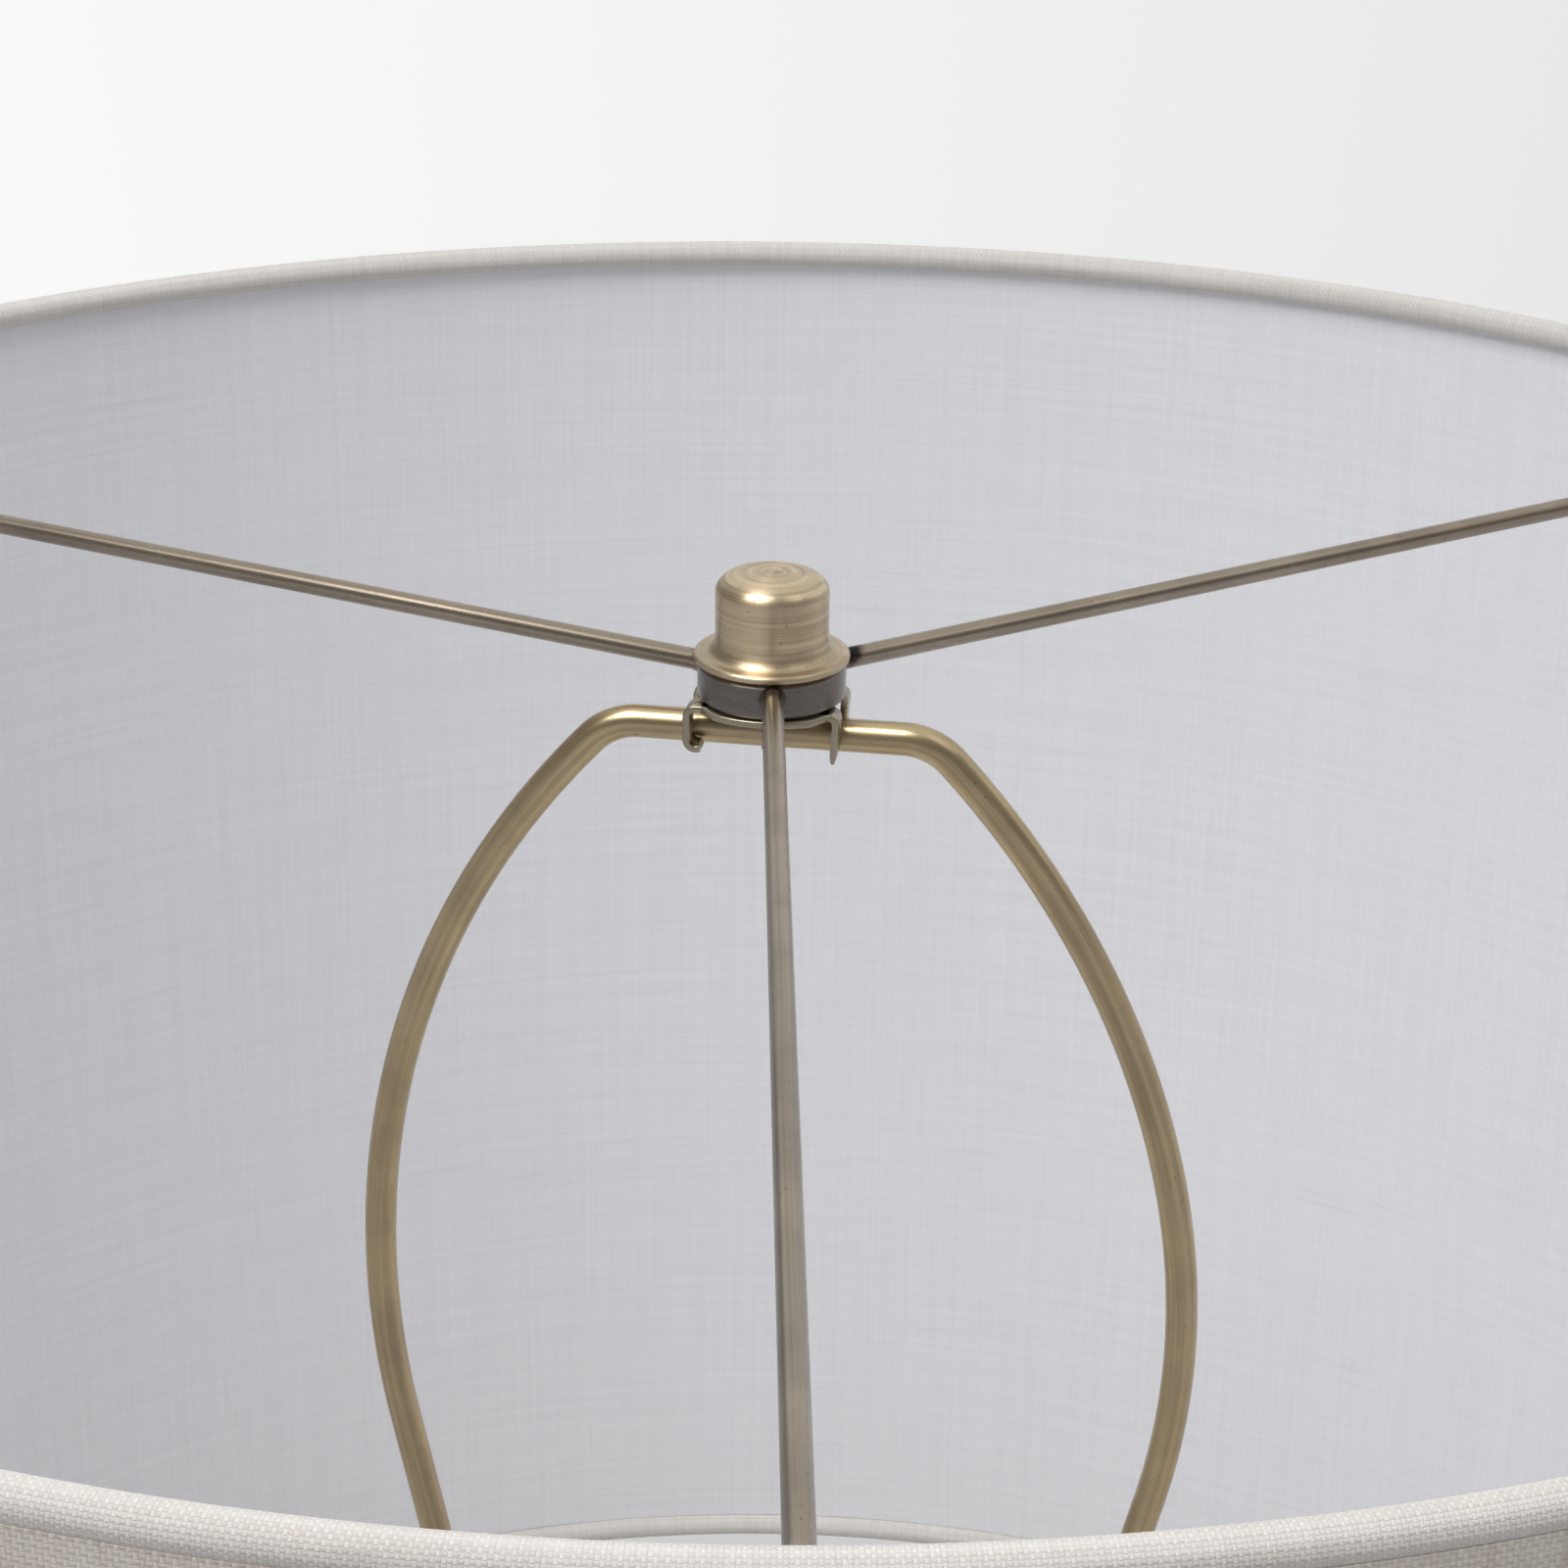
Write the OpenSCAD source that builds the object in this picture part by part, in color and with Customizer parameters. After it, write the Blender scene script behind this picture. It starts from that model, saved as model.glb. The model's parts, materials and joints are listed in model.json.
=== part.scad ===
// Table lamp: a drum shade on a wire harp, over a body wound with rope on a round foot.
// Millimetres, +Z up. The origin is the centre of the felt's underside.
// The harp stands in the XZ plane and the switch knob points to the front, -Y.

/* [Foot] */
// Width of the foot outside the rim that stands on it
foot_ledge = 6.4; // [6:0.2:14]
// Height of the foot, from the felt to the plate that the body stands on
foot_h = 20; // [18:0.5:30]
// Thickness of the foot's metal
foot_wall = 2; // [1.5:0.1:3]
// Radius of the foot's rounded top edge
foot_edge_r = 5; // [3:0.5:6]
// Height of the rim that hides the first turn of rope
foot_rim_h = 12; // [10:0.5:16]
// Thickness of that rim
foot_rim_t = 1.8; // [1.2:0.1:3]
// Thickness of the felt under the foot
felt_t = 2; // [1:0.5:4]
// Inner radius of the felt ring
felt_hole_r = 22; // [15:1:40]
// Radius of the iron weight in the foot
weight_r = 62; // [40:1:70]
// Thickness of the iron weight
weight_t = 12; // [8:0.5:13]
// Radius of the hole through the cord bushing
inlet_r = 3.2; // [2.5:0.1:3.6]
// Thickness of the bushing's rubber around that hole
inlet_wall = 1.7; // [1.2:0.1:2.5]
// Width of the bushing's two flanges beyond its barrel
inlet_lip = 2; // [1.5:0.1:2.5]
// Thickness of each of the bushing's flanges
inlet_lip_t = 1.6; // [1:0.1:2.5]

/* [Rope-wound body] */
// Height between the middles of the first and the last turn
wound_h = 286; // [240:1:310]
// Radius of the winding's centre line at the foot
wound_foot_r = 70; // [64:1:74]
// Radius that pulls the centre line out to the belly
wound_belly_r = 106; // [90:1:110]
// Height of that pull
wound_belly_z = 90; // [70:1:110]
// Radius that pulls the centre line in to the waist
wound_waist_r = 36; // [32:1:50]
// Height of that pull
wound_waist_z = 160; // [130:1:190]
// Radius of the winding's centre line at the top
wound_top_r = 34; // [30:1:40]
// Diameter of the rope
rope_d = 12.7; // [12:0.1:14]
// Gap between neighbouring turns
rope_gap = 0.55; // [0.5:0.05:1.2]
// Thickness of the cap on the body
cap_t = 1.5; // [1:0.1:2.5]
// Depth of the cap's lip, which hides the last turn
cap_lip_h = 15; // [12:0.5:18]
// Radius of the cap's rounded shoulder
cap_edge_r = 4; // [2:0.5:5]

/* [Neck] */
// Height of the turned neck
neck_h = 46; // [30:1:70]
// Radius of the neck's foot
neck_foot_r = 17; // [14:0.5:22]
// Radius of the neck's waist
neck_waist_r = 8.5; // [7.5:0.1:11]
// Radius of the neck's head
neck_head_r = 13; // [12.5:0.5:16]
// Radius of the ring under the neck
check_ring_r = 26; // [22:0.5:30]
// Height of the ring under the neck
check_ring_h = 5; // [4:0.5:7]
// Radius of the threaded pipe
pipe_r = 4.8; // [4.5:0.05:4.9]
// Radius of the bore of the pipe
pipe_bore_r = 3.1; // [2.6:0.1:3.4]
// Distance across the flats of the hexagon nuts
nut_flats = 15; // [13:0.5:17]
// Thickness of the hexagon nuts
nut_t = 4.5; // [3:0.5:5]
// Thickness of the washers
washer_t = 1.2; // [0.8:0.1:1.6]
// Radius of the washers
washer_r = 9; // [8.5:0.1:11]

/* [Harp] */
// Diameter of the harp's wire
harp_wire_d = 4.4; // [3.5:0.1:4.8]
// Height of the harp's bar above its saddle
harp_h = 239; // [222:1:242]
// Half length of the straight bar at the top
harp_bar_half = 17.5; // [16.5:0.1:19]
// Bend radius at each end of the bar
harp_bend_r = 9; // [7:0.5:12]
// Angle through which each end of the bar turns down
harp_bend_angle = 47; // [44:0.5:52]
// Radius of the long bow of each leg
harp_bow_r = 122; // [114:1:126]
// Angle through which the long bow turns
harp_bow_angle = 55.5; // [54:0.5:58]
// Radius of the lower bow, where a leg draws in
harp_tuck_r = 45; // [30:1:55]
// Angle through which the lower bow turns
harp_tuck_angle = 14; // [12:0.5:20]
// Radius of the last bend, which sets a leg upright
harp_foot_bend_r = 30; // [22:1:35]
// Sideways sway of both legs, halfway down
harp_sway = 1.5; // [0:0.1:3]
// Half distance between the saddle's two prongs
saddle_half = 29.5; // [27:0.1:31]
// Width of the saddle's strap
saddle_w = 13; // [12:0.5:16]
// Thickness of the saddle's strap
saddle_t = 1.6; // [1.2:0.1:2.5]
// Height of the collar that stops a ferrule, above the strap
collar_z = 6; // [4:0.5:9]
// Length of the lap between a leg and its prong
lap_h = 6; // [5:0.5:8]
// Length of a ferrule
ferrule_h = 12; // [11:0.5:16]
// Wall of a ferrule
ferrule_wall = 1.2; // [0.8:0.1:1.6]
// Travel of a ferrule up its leg
ferrule_lift = 9.5; // [9.5:0.1:12]
// Radius of the threaded stud on the harp
stud_r = 3.175; // [3:0.025:3.4]
// Height of the stud's shoulder, which carries the clip and the shade
shoulder_h = 1.6; // [1.2:0.1:3.5]
// Radius of the stud's shoulder
shoulder_r = 5.5; // [4.5:0.1:6.5]
// Thickness of the clip that grips the harp's bar
clip_t = 0.9; // [0.7:0.1:1.2]
// Radius of the curve of the clip's front and back edges
clip_edge_r = 14; // [11:0.5:20]
// Width of each claw, from front to back
claw_w = 3.4; // [2.5:0.1:3.8]
// Height of the two straight claws, with the plate
claw_h = 6.8; // [6:0.1:7.5]
// Radius of the bend at the top of a straight claw
claw_bend_r = 1.3; // [1.2:0.1:1.6]
// Height of the two hooked claws, with the plate
hook_h = 6.5; // [6:0.1:7.2]
// Radius of the two bends of a hooked claw
hook_r = 1.7; // [1.4:0.1:2.4]
// Reach of the hooked claws beyond the hub
hook_reach = 1.1; // [0.8:0.1:1.6]

/* [Shade] */
// Radius of the two ring wires, at the middle of the wire
ring_r = 203; // [180:1:220]
// Height between the two ring wires
shade_h = 276; // [240:1:300]
// Diameter of the ring wires
ring_wire_d = 2.8; // [2.4:0.1:3.2]
// Thickness of the rolled linen on the ring wires
roll_t = 0.75; // [0.5:0.05:1]
// Thickness of the outer panel of linen and stiff sheet
panel_t = 1.2; // [0.8:0.1:1.4]
// Thickness of the white lining
lining_t = 0.6; // [0.4:0.05:0.7]
// Diameter of the three spider arms
arm_d = 2.8; // [2.2:0.1:3]
// Height of the top ring above the hub's top face
hub_drop = 1.9; // [1:0.1:6]
// Diameter of the spider hub
hub_d = 19.4; // [17:0.1:22]
// Thickness of the spider hub
hub_h = 5; // [4.5:0.1:7]
// Depth of the arms below the hub's top face
arm_z = 2; // [1.9:0.1:2.4]
// Depth of the arms' outer ends below the ring's middle
arm_end_drop = 0.86; // [0:0.02:1.2]
// Angle from the lamp's front to the front arm
spider_angle = 9.8; // [0:0.1:20]
// Angle from the front arm to the right arm
right_arm_angle = 118.7; // [110:0.1:130]
// Angle from the front arm to the left arm
left_arm_angle = 244.2; // [230:0.1:250]

/* [Finial] */
// Radius of the finial's cap
finial_r = 7.4; // [7:0.1:8.5]
// Height of the finial
finial_h = 12.1; // [11.5:0.1:16]
// Radius of the finial's flange
finial_flange_r = 10.2; // [9.8:0.1:11]
// Thickness of the flange's rolled edge
finial_lip_t = 1.1; // [0.9:0.1:1.6]
// Width and height of the hollow sweep from the flange up to the cap
finial_sweep = [1.6, 2.6];
// Width and height of the cap's rounded shoulder
finial_shoulder = [3.5, 2.4];
// Rise of the crown above the shoulder
finial_crown_h = 0.4; // [0.2:0.1:0.8]
// Thickness of the finial's spun wall
finial_wall = 0.8; // [0.6:0.1:1]
// Length of the finial's threaded insert
insert_h = 7; // [5:0.5:8]

/* [Socket and switch] */
// Radius of the socket's shell
shell_r = 16.5; // [16:0.1:18]
// Height of the socket above the saddle
socket_h = 66; // [62:0.5:75]
// Wall of the socket's cap
socket_cap_wall = 0.8; // [0.6:0.1:1]
// Overlap of the socket's cap on its shell
socket_overlap = 7; // [5:0.5:9]
// Wall of the socket's shell
shell_wall = 0.5; // [0.4:0.05:0.7]
// Thickness of the fibre liner in the shell
liner_t = 0.7; // [0.5:0.1:0.9]
// Inner radius of the screw shell at its crests
screw_shell_r = 12.6; // [12.4:0.05:12.8]
// Depth of the screw shell's rolled thread
thread_depth = 0.8; // [0.5:0.1:0.9]
// Pitch of the screw shell's rolled thread
thread_pitch = 3.6; // [3:0.1:4]
// Height of the switch stem above the saddle
stem_z = 29; // [28:0.5:31]
// Radius of the switch stem
stem_r = 2; // [1.6:0.1:2.2]
// Distance from the lamp's axis to the end of the knob
knob_reach = 40; // [37:0.5:50]
// Length of the knob
knob_h = 13; // [10:0.5:15]
// Radius of the knob
knob_r = 5.4; // [4.5:0.1:7]

/* [Hidden] */
$fn = 64;

// Gaps: flat faces that turn on each other, shafts in bores, soft or wound pieces on their seats.
face_gap = 0.1;
shaft_gap = 0.05;
seat_gap = 0.2;
stud_gap = 0.075;
// Overlap of the solids that make up one piece, and length by which a cutter runs past what it cuts.
overlap = 0.5;
past = 1;

rope_r = rope_d / 2;
rope_pitch = rope_d + rope_gap;
rope_sides = 6;
rings_per_turn = 24;
wire_r = harp_wire_d / 2;
ring_wire_r = ring_wire_d / 2;
arm_r = arm_d / 2;
hub_r = hub_d / 2;
pipe_hole_r = pipe_r + shaft_gap;

// Levels, from the table up. The rope's straight ends run on along its climb, down and up.
plate_z = felt_t + foot_h;
weight_z = plate_z - foot_wall - weight_t;
end_fall = rope_d * rope_pitch / (2 * PI * wound_foot_r);
end_rise = rope_d * rope_pitch / (2 * PI * wound_top_r);
wound_z = plate_z + seat_gap + end_fall + rope_r;
cap_z = wound_z + wound_h + rope_r + end_rise + seat_gap;
check_ring_z = cap_z + cap_t;
neck_z = check_ring_z + check_ring_h;
neck_nut_z = neck_z + neck_h + washer_t;
saddle_z = neck_nut_z + nut_t;
strap_z = saddle_z + saddle_t;
bar_z = strap_z + harp_h;
shoulder_z = bar_z + wire_r + shaft_gap;
clip_z = shoulder_z + shoulder_h + face_gap;
hub_z = clip_z + clip_t + face_gap;
hub_top_z = hub_z + hub_h;
ring_z = hub_top_z + hub_drop;
bottom_ring_z = ring_z - shade_h;
finial_z = hub_top_z + face_gap;
pipe_lift = 0.6;
pipe_bottom_z = felt_t + pipe_lift;
inlet_rise = 1.2;
inlet_z = felt_t + inlet_rise + inlet_r + inlet_wall + inlet_lip;

// The winding's centre line is one cubic curve, as [radius, height above the first turn].
curve_from = [wound_foot_r, 0];
curve_pull_1 = [wound_belly_r, wound_belly_z];
curve_pull_2 = [wound_waist_r, wound_waist_z];
curve_to = [wound_top_r, wound_h];
curve_steps = 96;

function curve(t) = pow(1 - t, 3) * curve_from + 3 * t * pow(1 - t, 2) * curve_pull_1
    + 3 * t * t * (1 - t) * curve_pull_2 + pow(t, 3) * curve_to;

function slope(t) = pow(1 - t, 2) * (curve_pull_1 - curve_from)
    + 2 * t * (1 - t) * (curve_pull_2 - curve_pull_1) + t * t * (curve_to - curve_pull_2);

function unit(v) = v / norm(v);

curve_points = [for (i = [0:curve_steps]) curve(i / curve_steps)];
// Length along the curve up to each of those points.
curve_lengths = [for (i = 0, s = 0; i <= curve_steps;
    s = s + (i < curve_steps ? norm(curve_points[i + 1] - curve_points[i]) : 0), i = i + 1) s];
wound_length = curve_lengths[curve_steps];
step_at_length = [for (i = [0:curve_steps]) [curve_lengths[i], i / curve_steps]];

rope_turns = wound_length / rope_pitch;
rope_rings = floor(rope_turns * rings_per_turn);

// Middle of the rope, and the winding's outward direction, at ring k.
function rope_t(k) = lookup(wound_length * k / rope_rings, step_at_length);
function rope_angle(k) = 360 * rope_turns * k / rope_rings;
function rope_point(k) = let (p = curve(rope_t(k)), a = rope_angle(k))
    [p[0] * cos(a), p[0] * sin(a), wound_z + p[1]];
function rope_out(k) = let (d = unit(slope(rope_t(k))), a = rope_angle(k))
    [d[1] * cos(a), d[1] * sin(a), -d[0]];
function rope_along(k) = unit(rope_point(min(k + 1, rope_rings)) - rope_point(max(k - 1, 0)));

// Each end runs on straight for one rope diameter.
function rope_middle(k) = k < 0 ? rope_point(0) - rope_d * rope_along(0)
    : k > rope_rings ? rope_point(rope_rings) + rope_d * rope_along(rope_rings) : rope_point(k);

function rope_ring(k) = let (
        at = min(max(k, 0), rope_rings),
        along = rope_along(at),
        out = unit(rope_out(at) - (rope_out(at) * along) * along),
        across = cross(along, out))
    [for (j = [0:rope_sides - 1]) let (a = 360 * j / rope_sides + 90)
        rope_middle(k) + rope_r * (cos(a) * out + sin(a) * across)];

// Radii of the rims that hide the rope's two ends.
rope_clear = 0.8;
foot_slope = unit(slope(0));
foot_rim_r = wound_foot_r + (rope_r + (plate_z + foot_rim_h - wound_z) * foot_slope[0]) / foot_slope[1]
    + rope_clear;
foot_r = foot_rim_r + foot_rim_t + foot_ledge;
cap_lip_r = norm([wound_top_r, rope_d]) + rope_r + rope_clear;
cap_r = cap_lip_r + cap_t;

// Ferrules, laps and collars, the same on both sides.
collar_h = 1.2;
collar_lip = 1;
collar_top_z = strap_z + collar_z + collar_h;
lap_base = 3.2;
lap_z = collar_top_z + lap_base;
ferrule_z = collar_top_z + shaft_gap;
ferrule_bore_r = wire_r + 2 * shaft_gap;
tenon_r = 1;
rivet_lip = 0.25;
rivet_h = 0.3;

// A leg of the harp, as [length] for a straight and [radius, angle] for a bend, from the bar's middle.
// Angles count downwards, and the straights make up the height and width that the bends leave.
bow_end_angle = harp_bend_angle + harp_bow_angle;
tuck_end_angle = bow_end_angle + harp_tuck_angle;
leg_spare = 1.2;
leg_upright = ferrule_lift + ferrule_h - lap_base + leg_spare;
bowed_drop = bar_z - lap_z - shaft_gap - leg_upright;
bow_end_x = harp_bar_half + harp_bend_r * sin(harp_bend_angle)
    + harp_bow_r * (sin(bow_end_angle) - sin(harp_bend_angle));
bow_end_drop = harp_bend_r * (1 - cos(harp_bend_angle))
    + harp_bow_r * (cos(harp_bend_angle) - cos(bow_end_angle));
tuck_in = harp_tuck_r * (sin(bow_end_angle) - sin(tuck_end_angle));
tuck_drop = harp_tuck_r * (cos(bow_end_angle) - cos(tuck_end_angle));
foot_in = harp_foot_bend_r * (1 - sin(tuck_end_angle));
foot_drop = -harp_foot_bend_r * cos(tuck_end_angle);
straights_in = bow_end_x - tuck_in - foot_in - saddle_half;
straights_drop = bowed_drop - bow_end_drop - tuck_drop - foot_drop;
// Lengths of the upper and the lower straight, which solve for that width and height together.
lean_1 = bow_end_angle - 90;
lean_2 = tuck_end_angle - 90;
upper_straight = (straights_in * cos(lean_2) - straights_drop * sin(lean_2)) / sin(lean_1 - lean_2);
lower_straight = (straights_drop * sin(lean_1) - straights_in * cos(lean_1)) / sin(lean_1 - lean_2);
leg = [[harp_bar_half], [harp_bend_r, harp_bend_angle], [harp_bow_r, harp_bow_angle], [upper_straight],
    [harp_tuck_r, harp_tuck_angle], [lower_straight], [harp_foot_bend_r, 90 - tuck_end_angle],
    [leg_upright]];

// Where a leg stands after a share of one of its steps, as [distance out, drop, angle].
function leg_after(at, step, share = 1) = len(step) == 1
    ? at + share * step[0] * [cos(at[2]), sin(at[2]), 0]
    : let (r = step[0] * sign(step[1]), a = at[2] + share * step[1])
        [at[0] + r * (sin(a) - sin(at[2])), at[1] + r * (cos(at[2]) - cos(a)), a];

// Stations along a leg, with one every few degrees in its bends.
leg_step_angle = 5;
function leg_stations(i = 0, at = [0, 0, 0]) = i == len(leg) ? [at] : let (
        cuts = len(leg[i]) == 1 ? 1 : ceil(abs(leg[i][1]) / leg_step_angle))
    concat([for (n = [0:cuts - 1]) leg_after(at, leg[i], n / cuts)],
        leg_stations(i + 1, leg_after(at, leg[i])));

// Both legs sway to the same side, with nothing at the bar and nothing where they stand upright.
function sway(drop) = drop < bowed_drop ? harp_sway * pow(sin(180 * drop / bowed_drop), 2) : 0;

wire_sides = 16;
function wire_ring(station) = let (up = [sin(station[2]), 0, cos(station[2])])
    [for (j = [0:wire_sides - 1]) let (a = 360 * j / wire_sides)
        [station[0] + sway(station[1]), 0, bar_z - station[1]]
            + wire_r * (cos(a) * [0, 1, 0] + sin(a) * up)];

// Spider: each arm rises from its hole in the hub to the ring.
arm_seat_r = 5.8;
arm_hole_r = arm_r + shaft_gap;
arm_end_r = ring_r - ring_wire_r - shaft_gap;
arm_rise = arm_z + hub_drop - arm_end_drop;
arm_length = norm([arm_end_r - arm_seat_r, arm_rise]);
arm_tilt = atan2(arm_rise, arm_end_r - arm_seat_r);
stud_hole_r = stud_r + stud_gap;

// Shade wall: the panel hangs outside the wires and the lining inside the panel.
roll_r = ring_wire_r + shaft_gap + roll_t;
panel_inset = 0.25;
panel_out_r = ring_r + roll_r - panel_inset;
panel_in_r = panel_out_r - panel_t;
lining_out_r = panel_in_r - shaft_gap;
// Level, measured from a ring's middle, at which a wall of that inner radius clears the roll.
function under_roll(r) = sqrt(max(0, pow(roll_r, 2) - pow(r - ring_r, 2))) + shaft_gap;

// Socket, measured from the saddle's strap.
hub_neck_r = 8;
hub_neck_h = 8;
flare_h = 6;
flare_edge = 1.6;
flare_round_h = 2.5;
flare_z = hub_neck_h + flare_h;
round_z = flare_z + flare_round_h;
shell_seat_h = 0.5;
shell_z = round_z + shell_seat_h;
socket_cap_h = shell_z + socket_overlap;
shell_in_r = shell_r - shell_wall;
liner_out_r = shell_in_r - shaft_gap;
liner_in_r = liner_out_r - liner_t;
body_r = liner_in_r - 2 * shaft_gap;
body_lift = 2;
body_z = shell_z + body_lift;
body_over_stem = 12;
body_top_z = stem_z + body_over_stem;
screw_shell_wall = 0.4;
rim_h = 3;
screw_shell_top_z = socket_h - rim_h;
contact_hole_r = 6;
stem_hole_r = stem_r + 2 * shaft_gap;
rotor_r = 4.6;
rotor_t = 4;
rotor_y = 2;
socket_cap_r = shell_r + shaft_gap + socket_cap_wall;
set_screw_r = 1.4;
set_screw_z = 4;
set_screw_end = 10;
set_screw_angle = -45;
terminal_r = 2.7;
terminal_t = 1.6;
terminal_shank_r = 1.35;
terminal_flat = 11;
terminal_depth = 7;
terminal_rise = 4.5;
terminal_z = body_z + terminal_rise;

brass = "#8c7f58";
dark_brass = "#6b624d";
steel = "#a9abad";

// A ring or tube about the Z axis.
module tube(outer, inner, h) {
    difference() {
        cylinder(r = outer, h = h);
        translate([0, 0, -1]) cylinder(r = inner, h = h + 2);
    }
}

// A hexagon nut about the Z axis.
module hex_nut(flats, bore, h) {
    difference() {
        cylinder(r = flats / 2 / cos(30), h = h, $fn = 6);
        translate([0, 0, -1]) cylinder(r = bore, h = h + 2);
    }
}

// A circle that rounds an outline's corner at x and z.
module corner_circle(r, x, z) {
    translate([x - r, z - r]) circle(r);
}

// A closed tube through rings of points, which all run the same way round.
module swept_tube(rings) {
    count = len(rings[0]);
    last = len(rings) - 1;
    sides = [for (k = [0:last - 1]) for (j = [0:count - 1]) let (
            a = k * count + j,
            b = k * count + (j + 1) % count)
        each [[a, b, a + count], [b, b + count, a + count]]];
    end_from = last * count;
    ends = [for (j = [1:count - 2]) each [[0, j + 1, j], [end_from, end_from + j, end_from + j + 1]]];
    polyhedron(points = [for (ring = rings) each ring], faces = concat(sides, ends));
}

// Copies its children to both sides of the YZ plane.
module both_sides() {
    children();
    mirror([1, 0, 0]) children();
}

module felt_pad() {
    color("#3f4a3c") tube(foot_r - 1, felt_hole_r, felt_t);
}

module foot() {
    bore_y = foot_r - foot_wall / 2;
    color(brass) difference() {
        union() {
            translate([0, 0, felt_t]) rotate_extrude() difference() {
                union() {
                    square([foot_r, foot_h - foot_edge_r]);
                    square([foot_r - foot_edge_r, foot_h]);
                    corner_circle(foot_edge_r, foot_r, foot_h);
                }
                translate([0, -1]) square([foot_r - foot_wall, foot_h - foot_edge_r + 1]);
                translate([0, -1]) square([foot_r - foot_edge_r, foot_h - foot_wall + 1]);
                corner_circle(foot_edge_r - foot_wall, foot_r - foot_wall, foot_h - foot_wall);
            }
            translate([0, 0, plate_z]) tube(foot_rim_r + foot_rim_t, foot_rim_r, foot_rim_h);
        }
        translate([0, 0, felt_t]) cylinder(r = pipe_hole_r, h = foot_h + 1);
        translate([0, bore_y, inlet_z]) rotate([90, 0, 0])
            cylinder(r = inlet_r + inlet_wall + shaft_gap, h = 4 * foot_wall, center = true);
    }
}

module foot_weight() {
    color("#4a4a48") translate([0, 0, weight_z]) tube(weight_r, pipe_hole_r, weight_t);
}

// A rubber bushing in the foot's back wall, with a flange on each side of the wall.
module cord_bushing() {
    barrel_r = inlet_r + inlet_wall;
    lip_r = barrel_r + inlet_lip;
    in_y = sqrt(pow(foot_r - foot_wall, 2) - pow(lip_r, 2)) - shaft_gap;
    out_y = foot_r + shaft_gap;
    color("#2b2a29") translate([0, 0, inlet_z]) rotate([-90, 0, 0]) difference() {
        union() {
            translate([0, 0, in_y - inlet_lip_t]) cylinder(r = lip_r, h = inlet_lip_t);
            translate([0, 0, in_y - overlap]) cylinder(r = barrel_r, h = out_y - in_y + 2 * overlap);
            translate([0, 0, out_y]) cylinder(r = lip_r, h = inlet_lip_t);
        }
        translate([0, 0, in_y - inlet_lip_t - past])
            cylinder(r = inlet_r, h = out_y - in_y + 2 * (inlet_lip_t + past));
    }
}

module bottom_washer() {
    color(steel) translate([0, 0, weight_z - washer_t]) tube(washer_r, pipe_hole_r, washer_t);
}

module bottom_nut() {
    color(steel) translate([0, 0, weight_z - washer_t - nut_t]) hex_nut(nut_flats, pipe_hole_r, nut_t);
}

module lamp_pipe() {
    color(steel) translate([0, 0, pipe_bottom_z])
        tube(pipe_r, pipe_bore_r, strap_z + hub_neck_h - pipe_bottom_z);
}

// The turned core follows the inner side of the winding.
module body_core() {
    core_steps = 32;
    inset = rope_r + seat_gap;
    side = [for (i = [0:core_steps]) let (t = i / core_steps, d = unit(slope(t)))
        curve(t) + [-d[1] * inset, d[0] * inset + wound_z]];
    foot_side_r = wound_foot_r - inset;
    color("#b08d62") rotate_extrude() polygon(concat(
        [[pipe_hole_r, plate_z], [foot_side_r, plate_z], [foot_side_r, wound_z]], side,
        [[side[core_steps][0], cap_z], [pipe_hole_r, cap_z]]));
}

// One unbroken rope in a single layer, as a tube of six sides.
module rope_winding() {
    last = rope_rings + 2;
    rings = [for (k = [-1:rope_rings + 1]) rope_ring(k)];
    middles = [for (k = [-1:rope_rings + 1]) rope_middle(k)];
    half_turn = rings_per_turn / 2;
    least = min([for (i = [0:last - half_turn]) min([for (j = [i + half_turn:last])
        norm(middles[i] - middles[j])])]);
    echo(str("Least gap of the winding to itself, in mm: ", least - rope_d));
    echo(str("Turns of the winding: ", rope_turns));
    color("#b79a6b") swept_tube(rings);
}

module body_cap() {
    color(brass) translate([0, 0, cap_z]) rotate_extrude() difference() {
        union() {
            translate([pipe_hole_r, -cap_lip_h])
                square([cap_r - pipe_hole_r, cap_lip_h + cap_t - cap_edge_r]);
            translate([pipe_hole_r, 0]) square([cap_r - cap_edge_r - pipe_hole_r, cap_t]);
            translate([cap_r - cap_edge_r, cap_t - cap_edge_r]) intersection() {
                circle(cap_edge_r);
                square(cap_edge_r);
            }
            translate([pipe_hole_r, cap_t - cap_edge_r])
                square([cap_r - cap_edge_r - pipe_hole_r, cap_edge_r]);
        }
        translate([0, -cap_lip_h - 1]) square([cap_lip_r, cap_lip_h + 1 + cap_t - cap_edge_r]);
        translate([0, -cap_edge_r]) square([cap_r - cap_edge_r, cap_edge_r]);
        translate([cap_r - cap_edge_r, cap_t - cap_edge_r]) intersection() {
            circle(cap_edge_r - cap_t);
            square(cap_edge_r);
        }
    }
}

module check_ring() {
    bead = check_ring_h / 2;
    color(dark_brass) translate([0, 0, check_ring_z]) rotate_extrude() {
        translate([pipe_hole_r, 0]) square([check_ring_r - bead - pipe_hole_r, check_ring_h]);
        translate([check_ring_r - bead, bead]) circle(bead);
    }
}

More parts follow.
